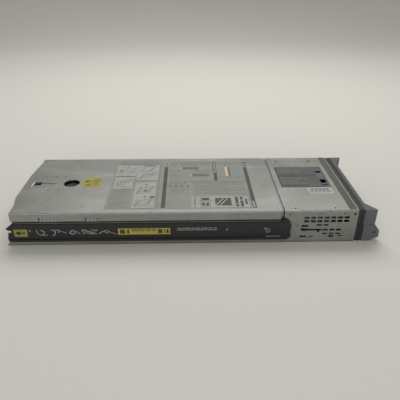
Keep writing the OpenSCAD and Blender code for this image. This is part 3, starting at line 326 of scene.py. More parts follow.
@dataclass(frozen=True)
class MouldedPlastic(Finish):
    """Injection-moulded ABS or PC: a fine spark-eroded texture, dulled and paler along its edges from rubbing
    and a painted highlight, with painted shade in gaps.
    """

    body: str = "#1b1d20"
    worn: str = "#4a4c50"
    roughness: float = 0.5
    texture_mm: float = 0.5
    edge_wear_and_highlight: float = 0.5

    def paint(self, tree: bpy.types.NodeTree, shader: bpy.types.Node) -> None:
        """Speckled texture, slow changes of tone, dust, edges paler from rubbing and a painted highlight, and
        painted shade in gaps.
        """
        speck = noise(tree, place(tree, (self.texture_mm,) * 3), 2.0)
        cloud = noise(tree, place(tree, (45, 18, 14)), 4.0, 0.4)
        base = mix(tree, times(tree, between(tree, speck, 0.35, 0.7), 0.16), self.body, self.worn)
        base = mix(tree, times(tree, between(tree, cloud, 0.52, 0.75), 0.22), base, self.worn)
        # Paler colour along sharp edges: partly rubbed wear, partly a painted highlight for light catching
        # them.
        rim = edges(tree, 0.6)
        base = mix(tree, times(tree, rim, self.edge_wear_and_highlight), base, self.worn)
        # Painted shade: near-black colour painted into gaps and corners in place of the shade that falls
        # there.
        base = mix(tree, painted_shade_mask(tree, 3.0), "#050506", base)
        tree.links.new(base, shader.inputs["Base Color"])
        rough = between(tree, cloud, 0.3, 0.7, self.roughness - 0.06, self.roughness + 0.08)
        tree.links.new(rough, shader.inputs["Roughness"])
        shader.inputs["IOR"].default_value = 1.53
        self.bump(tree, shader, speck, 0.05, 0.6)


@dataclass(frozen=True)
class ClearPlastic(Finish):
    """Polycarbonate light pipe: clear with a faint milky tint and moulding ripples."""

    tint: str = "#e6efe6"
    roughness: float = 0.12
    transmission: float = 0.7

    def paint(self, tree: bpy.types.NodeTree, shader: bpy.types.Node) -> None:
        """A faint cloud in the tint and a ripple in the surface."""
        cloud = noise(tree, place(tree, (3, 3, 3)), 2.0)
        tree.links.new(mix(tree, cloud, self.tint, "#ffffff"), shader.inputs["Base Color"])
        shader.inputs["Roughness"].default_value = self.roughness
        shader.inputs["Transmission Weight"].default_value = self.transmission
        shader.inputs["IOR"].default_value = 1.58
        self.bump(tree, shader, cloud, 0.02, 0.3)


@dataclass(frozen=True)
class MachinedMetal(Finish):
    """Turned, cast or extruded metal: a clean metal with tool marks along one direction."""

    body: str = "#b7b9ba"
    dark: str = "#8d8f91"
    roughness: float = 0.34
    marks_mm: tuple[float, float, float] = (6, 0.4, 0.4)

    def paint(self, tree: bpy.types.NodeTree, shader: bpy.types.Node) -> None:
        """Tool marks and a slow stain."""
        marks = noise(tree, place(tree, self.marks_mm), 3.0)
        stain = noise(tree, place(tree, (22, 22, 22)), 3.0)
        base = mix(tree, between(tree, marks, 0.3, 0.75), self.body, self.dark)
        base = mix(tree, times(tree, between(tree, stain, 0.5, 0.8), 0.4), base, self.dark)
        tree.links.new(base, shader.inputs["Base Color"])
        shader.inputs["Metallic"].default_value = 1.0
        tree.links.new(between(tree, marks, 0.3, 0.7, self.roughness - 0.05, self.roughness + 0.1),
                       shader.inputs["Roughness"])
        self.bump(tree, shader, marks, 0.02, 0.4)


@dataclass(frozen=True)
class BoardLaminate(Finish):
    """Glass laminate under green solder mask: fine copper tracks and small pads show through."""

    mask: str = "#1c4a33"
    track: str = "#2b6a48"
    pad: str = "#b9b49a"
    track_mm: float = 1.4

    def paint(self, tree: bpy.types.NodeTree, shader: bpy.types.Node) -> None:
        """Runs of track, pads and a glossy mask."""
        runs = add(tree, "TexBrick", values={"Color1": linear(self.track), "Color2": linear(self.mask),
                                             "Mortar": linear(self.mask), "Scale": 1.0, "Mortar Size": 0.12,
                                             "Brick Width": 5.0, "Row Height": 0.6},
                   links={"Vector": place(tree, (self.track_mm,) * 3)})
        dots = add(tree, "TexVoronoi", values={"Scale": 1.0, "Randomness": 0.35},
                   links={"Vector": place(tree, (3.4, 3.4, 3.4))})
        pads = between(tree, dots.outputs["Distance"], 0.2, 0.14)
        zone = between(tree, noise(tree, place(tree, (16, 12, 12)), 1.0), 0.5, 0.56)
        base = mix(tree, times(tree, pads, zone), runs.outputs["Color"], self.pad)
        tree.links.new(base, shader.inputs["Base Color"])
        shader.inputs["Roughness"].default_value = 0.34
        shader.inputs["IOR"].default_value = 1.5
        self.bump(tree, shader, runs.outputs["Fac"], 0.04, 0.4)


@dataclass(frozen=True)
class WovenSeal(Finish):
    """Nickel-plated woven cloth over foam: a fine tan plain weave with a dull metallic sheen."""

    warp: str = "#8a857b"
    weft: str = "#69655d"
    thread_mm: float = 0.9

    def paint(self, tree: bpy.types.NodeTree, shader: bpy.types.Node) -> None:
        """Warp and weft as crossed waves; the threads are drawn three times too coarse so that they show."""
        unit = place(tree, (self.thread_mm,) * 3)
        wave = {"Scale": 0.5, "Distortion": 0.4}
        warp = add(tree, "TexWave", wave_type="BANDS", bands_direction="X", values=wave,
                   links={"Vector": unit})
        weft = add(tree, "TexWave", wave_type="BANDS", bands_direction="Y", values=wave,
                   links={"Vector": unit})
        weave = times(tree, warp.outputs["Fac"], weft.outputs["Fac"])
        soil = noise(tree, place(tree, (5, 22, 5)), 4.0)
        base = mix(tree, weave, self.weft, self.warp)
        base = mix(tree, times(tree, between(tree, soil, 0.45, 0.75), 0.5), base, "#4e4a44")
        tree.links.new(base, shader.inputs["Base Color"])
        shader.inputs["Roughness"].default_value = 0.7
        shader.inputs["Metallic"].default_value = 0.15
        self.bump(tree, shader, weave, 0.2, 0.7)


@dataclass(frozen=True)
class PrintedFilm(Finish):
    """Printed polyester label film: a satin sheet, handled and slightly soiled."""

    body: str = "#8a8a80"
    soil: str = "#77776d"
    roughness: float = 0.5
    soiled: float = 0.4

    def paint(self, tree: bpy.types.NodeTree, shader: bpy.types.Node) -> None:
        """Even colour with fine speckle and slow soiling."""
        speck = noise(tree, place(tree, (1.2, 1.2, 1.2)), 3.0)
        cloud = noise(tree, place(tree, (24, 18, 18)), 4.0, 0.5)
        base = mix(tree, times(tree, between(tree, speck, 0.4, 0.75), 0.25), self.body, self.soil)
        base = mix(tree, times(tree, between(tree, cloud, 0.45, 0.7), self.soiled), base, self.soil)
        tree.links.new(base, shader.inputs["Base Color"])
        tree.links.new(between(tree, cloud, 0.3, 0.7, self.roughness - 0.05, self.roughness + 0.1),
                       shader.inputs["Roughness"])
        self.bump(tree, shader, cloud, 0.04, 0.3)


# ---- Finishes of this part ----


class Stock:
    """Every finish of the part, each named for what it is."""

    galvanised = SheetSteel("galvanised_sheet_steel", "#878a84", "#757873", "#9a9d97")
    bracket = SheetSteel("bright_bracket_steel", "#a2a4a3", "#8d908f", "#b9bbba", 0.36, 0.8, 1.6, 0.3, 0.3)
    zinc = MachinedMetal("zinc_plated_steel", "#9a9b98", "#6d6e6b", 0.36, (0.5, 0.5, 3))
    rivet = MachinedMetal("dark_steel_rivet", "#2e2f2e", "#1b1c1b", 0.5, (0.5, 0.5, 3))
    rail = MouldedPlastic("black_rail_nylon", "#050607", "#15181b", 0.55, 0.6, 0.35)
    frame_black = MouldedPlastic("black_frame_abs", "#0d0e0f", "#222325", 0.55, 0.5, 0.4)
    bezel = MouldedPlastic("graphite_bezel_abs", "#4b4c4f", "#6b6c70", 0.55, 0.5, 0.4)
    release = MouldedPlastic("violet_grey_abs", "#6c6880", "#8d8aa0", 0.5, 0.5, 0.4)
    catch = MouldedPlastic("port_red_abs", "#6e2f48", "#95556c", 0.45, 0.5, 0.4)
    black = MouldedPlastic("black_nylon", "#0f1011", "#2b2d30", 0.5, 0.5, 0.4)
    socket = MouldedPlastic("navy_connector_nylon", "#1b2744", "#3a4868", 0.45, 0.4, 0.3)
    latch = MouldedPlastic("white_latch_nylon", "#dcdcd6", "#f2f2ee", 0.45, 0.4, 0.2)
    contact = MouldedPlastic("beige_connector_polymer", "#b5a98c", "#cfc6ae", 0.5, 0.4, 0.3)
    card = MouldedPlastic("pale_tab_polycarbonate", "#c9c9c2", "#dededa", 0.4, 0.6, 0.2)
    ferrite = MouldedPlastic("moulded_ferrite", "#46494d", "#6a6d71", 0.6, 0.3, 0.5)
    button = ClearPlastic("milky_button_polycarbonate", "#d6dcdc", 0.3, 0.25)
    lens = ClearPlastic("clear_light_pipe")
    laminate = BoardLaminate("green_glass_laminate")
    heatsink = MachinedMetal("extruded_aluminium", "#c3c5c7", "#9da0a3", 0.32, (30, 0.5, 0.5))
    disk = MachinedMetal("cast_aluminium_lid", "#a9abad", "#85888a", 0.38, (3, 3, 3))
    carrier = SheetSteel("grey_coated_sheet", "#7f8183", "#6d6f71", "#939597", 0.5, 0.2, 1.2, 0.2, 0.3)
    chip = MachinedMetal("nickel_plated_copper", "#aaa48f", "#8c8773", 0.28, (2, 2, 2))
    brass = MachinedMetal("turned_brass", "#b8954c", "#8e7036", 0.3, (0.4, 0.4, 2))
    seal = WovenSeal("woven_conductive_seal", "#6f6c5f", "#55524a")
    label_grey = PrintedFilm("silver_label_film", "#82837a", "#76776e", 0.5, 0.4)
    panel_pale = PrintedFilm("pale_label_print", "#9a9b94", "#878881", 0.5, 0.5)
    strip_blue = PrintedFilm("slate_label_print", "#737a79", "#686f6e", 0.5, 0.4)
    ink_dark = PrintedFilm("charcoal_ink", "#2c2c28", "#3a3a35", 0.5, 0.3)
    ink_mid = PrintedFilm("grey_ink", "#585851", "#66665e", 0.5, 0.4)
    ink_soft = PrintedFilm("pale_grey_ink", "#6b6c64", "#74756d", 0.5, 0.4)
    ink_white = PrintedFilm("white_ink", "#bcbdb6", "#a3a49d", 0.5, 0.4)
    ink_rail = PrintedFilm("light_grey_ink", "#8b8d89", "#6f716d", 0.55, 0.5)
    yellow = PrintedFilm("yellow_label_film", "#98912f", "#857f2c", 0.5, 0.4)
    yellow_worn = PrintedFilm("worn_yellow_film", "#7c7a30", "#66642b", 0.5, 0.6)
    label_dark = PrintedFilm("dark_label_film", "#3a3b38", "#2f302e", 0.5, 0.5)
    label_white = PrintedFilm("white_label_film", "#a9a9a1", "#93938b", 0.5, 0.5)
    ink_red = PrintedFilm("faded_red_ink", "#7a5448", "#6d4b41", 0.5, 0.3)
    ink_cream = PrintedFilm("cream_ink", "#b9b19a", "#a69e88", 0.5, 0.3)
    ink_teal = PrintedFilm("faded_teal_ink", "#74847d", "#6c7a73", 0.5, 0.3)
    ink_violet = PrintedFilm("faded_violet_ink", "#524c5c", "#46414e", 0.5, 0.3)


NODE_FINISH = {
    Stock.galvanised: ("base_tray", "front_shell", "access_cover"),
    Stock.bracket: ("latch_bracket", "side_clips", "rear_bracket", "drive_cage"),
    Stock.rivet: ("latch_rivets",),
    Stock.zinc: ("rail_rivets", "bezel_rivets", "lever_pin", "guide_screws", "drive_1_screws",
                 "drive_2_screws", "board_screws", "heatsink_screws", "coin_battery"),
    Stock.black: ("cover_latch", "power_switch", "io_connector", "tab_guide", "drive_sockets",
                  "mezzanine_sockets", "power_connector", "battery_holder"),
    Stock.rail: ("side_rail",),
    Stock.frame_black: ("bezel_frame",),
    Stock.bezel: ("front_bezel", "release_lever"),
    Stock.release: ("release_button", "drive_1_lever", "drive_2_lever"),
    Stock.catch: ("drive_1_button", "drive_2_button"),
    Stock.button: ("power_button",),
    Stock.lens: ("light_pipes",),
    Stock.card: ("pull_tab",),
    Stock.laminate: ("drive_backplane", "system_board", "memory_modules", "mezzanine_card_near",
                     "mezzanine_card_far"),
    Stock.carrier: ("drive_1_carrier", "drive_2_carrier"),
    Stock.disk: ("drive_1_disk", "drive_2_disk"),
    Stock.brass: ("board_standoffs", "mezzanine_standoffs"),
    Stock.contact: ("processor_sockets", "signal_connectors"),
    Stock.chip: ("processors",),
    Stock.heatsink: ("heatsink_front", "heatsink_rear", "chipset_heatsink"),
    Stock.socket: ("memory_sockets",),
    Stock.latch: ("memory_latches_front", "memory_latches_rear"),
    Stock.ferrite: ("power_chokes",),
}


def dress(obj: bpy.types.Object, finish: Finish) -> None:
    """Puts one finish on all of an object's faces."""
    if not obj.data.materials:
        obj.data.materials.append(finish.material())
    for index in range(len(obj.data.materials)):
        obj.data.materials[index] = finish.material()


def dress_nodes() -> None:
    """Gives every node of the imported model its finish."""
    for finish, names in NODE_FINISH.items():
        for name in names:
            dress(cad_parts[name], finish)
            log.info("dressed %s in %s", name, finish.name)


# ---- Places on the casing ----


class Side(Enum):
    """The casing's outer faces that carry flat pieces."""

    TOP = "top"
    RAIL = "rail"
    WALL = "wall"


@dataclass
class Casing:
    """Turns places on the maker's drawing, in millimetres, into places in the frame."""

    body_length: float = 481 * MM
    rear: float = field(init=False)
    near: float = field(init=False)
    tray: tuple[Vector, Vector] = field(init=False)

    def __post_init__(self) -> None:
        """Reads the tray's corners from the frame."""
        self.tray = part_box("base_tray")
        self.rear = self.tray[1].x - self.body_length
        self.near = self.tray[0].y

    def point(self, side: Side, along_mm: float, across_mm: float, lift_mm: float = 0.0) -> Vector:
        """A point on a face.

        Args:
            side: The face.
            along_mm: Distance from the metal body's rear edge.
            across_mm: Distance from the rail side on the top, or height above the floor on the others.
            lift_mm: Height above the face.

        Returns:
            The point in the frame.
        """
        x = self.rear + along_mm * MM
        if side is Side.TOP:
            return Vector((x, self.near + across_mm * MM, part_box("access_cover")[1].z + lift_mm * MM))
        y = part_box("side_rail")[0].y if side is Side.RAIL else self.near
        return Vector((x, y - lift_mm * MM, across_mm * MM))


CASING = Casing()


# ---- Modelling tools ----


def only(obj: bpy.types.Object) -> None:
    """Selects one object alone and makes it active."""
    bpy.ops.object.select_all(action="DESELECT")
    obj.select_set(True)
    bpy.context.view_layer.objects.active = obj


def settle(obj: bpy.types.Object, name: str, body: str, finish: Finish) -> bpy.types.Object:
    """Finishes a piece: its place goes into its mesh, and it gets its name, body and finish.

    Args:
        obj: The piece.
        name: Its name.
        body: The body that it rides on.
        finish: Its finish.

    Returns:
        The piece.
    """
    only(obj)
    bpy.ops.object.transform_apply(location=True, rotation=True, scale=True)
    obj.name = obj.data.name = name
    dress(obj, finish)
    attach(obj, body)
    log.info("made %s on %s", name, body)
    return obj


def apply(obj: bpy.types.Object, kind: str, **settings: object) -> None:
    """Adds a modifier to an object and applies it."""
    only(obj)
    modifier = obj.modifiers.new(kind.lower(), kind)
    for key, value in settings.items():
        setattr(modifier, key, value)
    bpy.ops.object.modifier_apply(modifier=modifier.name)


class Tile(Enum):
    """The shapes that flat marks are copied from."""

    SQUARE = 4
    DISC = 20

    def model(self) -> bpy.types.Object:
        """Models the shape flat, one metre across."""
        bpy.ops.object.select_all(action="DESELECT")
        if self is Tile.SQUARE:
            bpy.ops.mesh.primitive_plane_add(size=1)
        else:
            bpy.ops.mesh.primitive_circle_add(radius=0.5, vertices=self.value, fill_type="NGON")
        return bpy.context.object


class Sheet:
    """Flat marks on one face, drawn in millimetres and made as one thin film."""

    def __init__(self, side: Side, lift_mm: float = 0.0, film_mm: float = 0.05) -> None:
        """Starts an empty sheet.

        Args:
            side: The face that it lies on.
            lift_mm: Height of its underside above the face.
            film_mm: Its thickness.
        """
        self.side = side
        self.lift_mm = lift_mm
        self.film_mm = film_mm
        self.marks: list[tuple[Tile, Matrix]] = []

    def put(self, tile: Tile, at: tuple[float, float], size: tuple[float, float],
            turn: float = 0.0) -> "Sheet":
        """Notes one copy of a tile.

        Args:
            tile: The shape.
            at: Its centre.
            size: Its length and width.
            turn: Its turn about the face's normal, in radians.
        """
        lean = Matrix.Identity(4) if self.side is Side.TOP else Matrix.Rotation(math.pi / 2, 4, "X")
        spin = Matrix.Rotation(turn, 4, "Z")
        stretch = Matrix.Diagonal((size[0] * MM, size[1] * MM, 1, 1))
        where = Matrix.Translation(CASING.point(self.side, at[0], at[1], self.lift_mm))
        self.marks.append((tile, where @ lean @ spin @ stretch))
        return self

    def bar(self, x0: float, y0: float, x1: float, y1: float) -> "Sheet":
        """A rectangle between two corners."""
        return self.put(Tile.SQUARE, ((x0 + x1) / 2, (y0 + y1) / 2), (abs(x1 - x0), abs(y1 - y0)))

    def stroke(self, points: Sequence[tuple[float, float]], width: float, closed: bool = False) -> "Sheet":
        """A line of straight strokes through some points."""
        ends = list(points) + ([points[0]] if closed else [])
        for (x0, y0), (x1, y1) in zip(ends, ends[1:]):
            length = math.hypot(x1 - x0, y1 - y0) + width * 0.6
            middle = ((x0 + x1) / 2, (y0 + y1) / 2)
            self.put(Tile.SQUARE, middle, (length, width), math.atan2(y1 - y0, x1 - x0))
        return self

    def frame(self, x0: float, y0: float, x1: float, y1: float, width: float) -> "Sheet":
        """The outline of a rectangle."""
        return self.stroke(((x0, y0), (x1, y0), (x1, y1), (x0, y1)), width, closed=True)

    def ring(self, x: float, y: float, radius: float, width: float, sides: int = 12) -> "Sheet":
        """A round outline."""
        turns = [2 * math.pi * i / sides for i in range(sides)]
        return self.stroke([(x + radius * math.cos(t), y + radius * math.sin(t)) for t in turns], width, True)

    def disc(self, x: float, y: float, radius: float) -> "Sheet":
        """A filled dot."""
        return self.put(Tile.DISC, (x, y), (2 * radius, 2 * radius))

    def arrow(self, x0: float, y0: float, x1: float, y1: float, width: float, head: float) -> "Sheet":
        """An arrow from one point to another, with an open head."""
        angle = math.atan2(y1 - y0, x1 - x0)
        self.stroke(((x0, y0), (x1, y1)), width)
        for turn in (2.5, -2.5):
            barb = (x1 + head * math.cos(angle + turn), y1 + head * math.sin(angle + turn))
            self.stroke(((x1, y1), barb), width)
        return self

    def rows(self, x0: float, y0: float, x1: float, y1: float, pitch: float, height: float,
             words: Sequence[float] = (0.3, 0.5, 0.2), gap: float = 1.2) -> "Sheet":
        """Rows of plain dashes that stand for small print.

        Args:
            x0: Lowest x.
            y0: Lowest y.
            x1: Highest x.
            y1: Highest y.
            pitch: Distance between rows.
            height: Height of a dash.
            words: Lengths of the dashes in turn, as shares of the width.
            gap: Space between dashes.
        """
        step = 0
        for row in range(int((y1 - y0) / pitch)):
            y = y1 - row * pitch
            x = x0
            limit = x1 - (0.3 * (x1 - x0) if row % 4 == 3 else 0)
            while x < limit - 1:
                end = min(x + words[step % len(words)] * (x1 - x0), limit)
                self.bar(x, y - height, end, y)
                x = end + gap
                step += 1
        return self

    def make(self, name: str, body: str, finish: Finish) -> bpy.types.Object:
        """Copies the tiles to their places, joins them, thickens them and finishes them as one piece."""
        tiles = {tile: tile.model() for tile in {tile for tile, _ in self.marks}}
        copies = []
        for tile, matrix in self.marks:
            copy = tiles[tile].copy()
            copy.data = tiles[tile].data.copy()
            copy.matrix_world = matrix
            bpy.context.scene.collection.objects.link(copy)
            copies.append(copy)
        for tile in tiles.values():
            bpy.data.objects.remove(tile)
        bpy.ops.object.select_all(action="DESELECT")
        for copy in copies:
            copy.select_set(True)
        bpy.context.view_layer.objects.active = copies[0]
        bpy.ops.object.transform_apply(location=True, rotation=True, scale=True)
        if len(copies) > 1:
            bpy.ops.object.join()
        piece = bpy.context.object
        apply(piece, "SOLIDIFY", thickness=self.film_mm * MM, offset=1.0)
        return settle(piece, name, body, finish)


# ---- Sub-assemblies ----


@dataclass
class CoverLabels:
    """The service label and the latch label on the sliding cover."""

    body: str = "cover"
    slot: str = "galvanised_steel"
    film_mm: float = 0.06

    def build(self) -> None:
        """Makes the label sheets and what is printed on them."""
        self.latch_label()
        self.service_sheet()
        self.panels()
        self.bars()
        self.figures()
        self.print_rows()
        self.board_plan()
        self.flange_dimple_highlight()

    def sheet(self) -> Sheet:
        """An empty sheet that lies on the label film."""
        return Sheet(Side.TOP, self.film_mm)

    def finish(self, sheet: Sheet, name: str, finish: Finish) -> None:
        """Makes a sheet that rides on the cover."""
        sheet.make(name, self.body, finish)

    def latch_label(self) -> None:
        """A yellow label in front of the finger hole, with an arrow towards the rear."""
        label = Sheet(Side.TOP, 0.0, self.film_mm).bar(82.5, 75.5, 110, 109)
        self.finish(label, "latch_label", Stock.yellow)
        marks = self.sheet()
        marks.arrow(96, 96, 85.5, 96, 1.8, 6).bar(98.2, 79, 99, 106)
        marks.stroke(((86, 88), (90, 84), (94, 88), (94, 80), (87, 80)), 1.2)
        for row in range(5):
            marks.bar(101, 82.5 + 5 * row, 107.8 - row % 2 * 2.4, 84.2 + 5 * row)
        self.finish(marks, "latch_label_marks", Stock.ink_dark)

    def service_sheet(self) -> None:
        """The large silver service label and the slate strip along its far edge."""
        backing = Sheet(Side.TOP, 0.0, self.film_mm).bar(127, 9, 341, 170)
        self.finish(backing, "service_label", Stock.label_grey)
        self.finish(self.sheet().bar(129.6, 156, 197.5, 170), "service_label_strip", Stock.strip_blue)

    def panels(self) -> None:
        """Four pale picture fields, each with a dark rule under it."""
        fields = ((129.8, 113.5, 162, 154), (163.3, 98, 197, 154), (131, 70, 159.5, 109),
                  (164.5, 12, 196, 90.5))
        pale = self.sheet()
        rules = self.sheet()
        for x0, y0, x1, y1 in fields:
            pale.bar(x0, y0, x1, y1)
            rules.bar(x0, y0 - 1.6, x1, y0 - 0.5)
        rules.bar(129.8, 155, 197, 155.8).bar(199.2, 12, 199.9, 164)
        rules.bar(214, 92.4, 335, 93.4).bar(217, 10, 333, 10.8)
        self.finish(pale, "service_label_panels", Stock.panel_pale)
        self.finish(rules, "service_label_rules", Stock.ink_mid)

    def bars(self) -> None:
        """The three dark bars with their white marks."""
        solid = self.sheet()
        solid.bar(206, 11.7, 211.7, 163.5).bar(285.3, 95, 290.5, 164.5).bar(335, 10, 340.5, 163.7)
        self.finish(solid, "service_label_bars", Stock.ink_dark)
        marks = Sheet(Side.TOP, 2 * self.film_mm)
        marks.frame(206.8, 146, 210.9, 162.5, 0.8).bar(208.2, 149, 209.4, 153).bar(208.2, 156, 209.4, 160)
        for step in range(9):
            marks.bar(286.4 + step % 2, 124 + 4.4 * step, 289.2, 126.2 + 4.4 * step)
        for low in (13, 144):
            for step in range(4):
                marks.bar(336.2, low + 4.6 * step, 339.2 - step % 2, low + 2.4 + 4.6 * step)
        marks.bar(232.8, 136, 233.8, 145).bar(263.4, 136, 264.6, 141).bar(247.6, 110, 248.8, 119)
        self.finish(marks, "service_label_bar_marks", Stock.ink_white)

    def figures(self) -> None:
        """Line figures in the fields: a hand over a catch, a lifted lid, a turned tray and two modules."""
        lift = 2 * self.film_mm
        lines = Sheet(Side.TOP, lift)
        # Lid lifting off a tray
        lines.stroke(((133, 118), (152, 118), (159, 128), (140, 128)), 0.9, True)
        lines.stroke(((133, 126), (152, 130), (159, 141), (140, 137)), 0.9, True)
        lines.arrow(146, 139, 146, 150, 0.9, 3.4).stroke(((134, 143), (138, 149), (142, 144)), 0.9)
        # Tray sliding out along its guides
        lines.stroke(((167, 104), (185, 110), (193, 126), (175, 120)), 1.0, True)
        lines.stroke(((170, 110), (187, 116)), 0.8).stroke(((173, 115), (190, 121)), 0.8)
        lines.stroke(((168, 130), (176, 146), (192, 150), (186, 134)), 1.0, True)
        lines.arrow(180, 128, 187, 141, 0.9, 3)
        # Catch pressed by a finger
        lines.ring(142, 90, 6.4, 0.9).ring(142, 90, 2.6, 0.8, 8)
        lines.stroke(((147, 96), (154, 104), (157, 101), (151, 91)), 0.9).stroke(((134, 76), (156, 76)), 0.9)
        lines.stroke(((134, 80), (139, 84), (134, 87)), 0.8)
        # Two modules in slanted view
        for low in (16, 54):
            lines.stroke(((169, low), (187, low + 5), (192, low + 22), (174, low + 17)), 0.9, True)
            lines.stroke(((172, low + 5), (186, low + 9), (189, low + 17), (176, low + 13)), 0.7, True)
            lines.stroke(((169, low), (167.5, low + 4), (172.5, low + 21), (174, low + 17)), 0.7)
            lines.arrow(181, low + 24, 181, low + 31, 0.9, 3)
        self.finish(lines, "service_label_figures", Stock.ink_mid)
        blocks = Sheet(Side.TOP, lift)
        blocks.bar(172, 150.4, 189, 152.6).bar(134, 111.2, 158, 112.2).bar(188.5, 41, 195, 45.5)
        blocks.bar(134.5, 131.5, 139, 134.5).bar(178, 61, 184, 65)
        self.finish(blocks, "service_label_blocks", Stock.ink_dark)

    def print_rows(self) -> None:
        """Dashes that stand for small print, the grey bars and the colour swatch."""
        soft = self.sheet()
        soft.rows(131, 14, 159, 67, 4.2, 1.5, (0.42, 0.22, 0.3))
        soft.rows(215, 147, 283, 164, 4.2, 1.6, (0.2, 0.32, 0.14, 0.26))
        soft.rows(215, 97, 233, 133, 4.6, 1.5, (0.6, 0.3))
        soft.rows(254, 121.5, 283, 135, 4.4, 1.5, (0.3, 0.5))
        soft.rows(293, 97, 333, 108, 4.2, 1.5, (0.34, 0.2, 0.28))
        soft.rows(293, 147, 333, 163, 4.4, 1.6, (0.22, 0.4))
        soft.rows(218, 47, 246, 73, 4.4, 1.5, (0.5, 0.3))
        soft.rows(252, 48, 330, 90, 4.6, 1.6, (0.16, 0.24, 0.1, 0.2))
        soft.rows(345, 20, 345.1, 21, 1, 0.1)
        self.finish(soft, "service_label_small_print", Stock.ink_soft)
        grey = self.sheet()
        grey.bar(235, 136, 262, 145).bar(251, 110, 278, 119.5)
        for step in range(5):
            grey.bar(217 + 5.2 * step, 83, 219 + 5.2 * step, 90)
        self.finish(grey, "service_label_grey_bars", Stock.ink_mid)
        dots = self.sheet()
        for step in range(4):
            dots.disc(217 + 9 * step, 77.6, 1.9)
        dots.bar(131.5, 171, 131.6, 171.1)
        self.finish(dots, "service_label_dots", Stock.ink_dark)
        self.finish(self.sheet().bar(304.5, 110, 308.8, 144), "service_label_cream", Stock.ink_cream)
        self.finish(self.sheet().bar(309, 110, 313, 144), "service_label_red", Stock.ink_red)
        self.finish(self.sheet().bar(315.5, 112, 330, 142), "service_label_teal", Stock.ink_teal)

    def board_plan(self) -> None:
        """A plain plan of the board: outlined zones, one dark block and a dotted column."""
        pale = self.sheet().bar(249, 12, 331, 44)
        self.finish(pale, "board_plan_field", Stock.panel_pale)
        dark = Sheet(Side.TOP, 2 * self.film_mm)
        dark.bar(262, 15, 276, 27).bar(262, 30, 276, 41).bar(283, 17, 306, 39)
        dark.bar(312, 14, 316, 42).bar(319, 14, 323, 42).bar(326, 20, 329, 36)
        for step in range(7):
            dark.disc(254, 15.5 + 4.2 * step, 1.1)
        self.finish(dark, "board_plan_blocks", Stock.ink_dark)
        white = Sheet(Side.TOP, 3 * self.film_mm)
        white.frame(263.2, 16.2, 274.8, 25.8, 0.9).frame(263.2, 31.2, 274.8, 39.8, 0.9)
        white.stroke(((284, 19), (295, 37)), 1.1).stroke(((290, 18.5), (301, 37)), 1.1)
        white.bar(312.8, 20, 315.2, 22).bar(319.8, 31, 322.2, 33).bar(268, 19, 270, 23)
        self.finish(white, "board_plan_lines", Stock.ink_white)

    def flange_dimple_highlight(self) -> None:
        """A bright disc on the flange: a painted highlight where a dimple pressed into the flange catches the
        light.
        """
        # Painted highlight: a flat disc of brighter steel stands in for the light on the dimple.
        self.finish(Sheet(Side.WALL, 0.0, 0.05).disc(238.7, 41.7, 1.1), "flange_dimple_highlight", Stock.bracket)


@dataclass
class SealStrip:
    """The woven seal across the front of the metal body."""

    body: str = "chassis"
    slot: str = "seal_fabric"

    def build(self) -> None:
        """Makes the strip in place of its plain solid."""
        low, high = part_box("emi_gasket")
        middle = (low + high) / 2
        size = high - low
        bpy.ops.object.select_all(action="DESELECT")
        bpy.ops.mesh.primitive_cube_add(size=1, location=middle, scale=(size.x, size.y, size.z))
        strip = bpy.context.object
        bpy.ops.object.mode_set(mode="EDIT")
        bpy.ops.mesh.select_all(action="SELECT")
        bpy.ops.mesh.subdivide(number_cuts=5)
        bpy.ops.object.mode_set(mode="OBJECT")
        apply(strip, "SUBSURF", levels=1, render_levels=1)
        piece = settle(strip, "seal_strip", self.body, Stock.seal)
        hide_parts("emi_gasket")


@dataclass
class FrontLabels:
    """Labels on the fixed front shell."""

    body: str = "chassis"
    slot: str = "galvanised_steel"
    film_mm: float = 0.06

    def finish(self, sheet: Sheet, name: str, finish: Finish) -> None:
        """Makes a sheet that rides on the chassis."""
        sheet.make(name, self.body, finish)

    def build(self) -> None:
        """Makes the dark label, the white label and the small print behind them."""
        film = self.film_mm
        self.finish(Sheet(Side.TOP, 0.0, film).bar(386, 70, 462.5, 142), "info_label", Stock.label_dark)
        self.finish(Sheet(Side.TOP, 0.0, film).bar(424, 49.5, 460.5, 69), "asset_label", Stock.label_white)
        pale = Sheet(Side.TOP, film)
        pale.rows(389, 74, 430, 104, 4.4, 1.5, (0.24, 0.4, 0.16))
        pale.rows(389, 112, 446, 139, 4.6, 1.5, (0.3, 0.14, 0.24))
        pale.frame(433, 75, 446, 88, 0.9).frame(434, 93, 445, 104, 0.9).ring(439.5, 81.5, 3.6, 0.8, 8)
        self.finish(pale, "info_label_print", Stock.ink_soft)
        tint = Sheet(Side.TOP, film).bar(449, 73, 460.5, 139)
        self.finish(tint, "info_label_tint", Stock.ink_violet)
        black = Sheet(Side.TOP, film)
        black.bar(389, 106.5, 446, 109).bar(450.5, 76, 459, 79)
        black.bar(450.5, 84, 459, 96).bar(450.5, 120, 459, 126)
        for step in range(16):
            black.bar(427 + 1.9 * step, 60, 427.6 + 1.9 * step + step % 3 * 0.3, 66.5)
        black.rows(427, 51.5, 458, 59, 3.6, 1.3, (0.2, 0.34, 0.12))
        self.finish(black, "front_label_marks", Stock.ink_dark)
        small = Sheet(Side.TOP, 0.0).rows(417, 152, 438.5, 156, 3.4, 1.6, (0.3, 0.22, 0.2))
        self.finish(small, "front_small_print", Stock.ink_white)


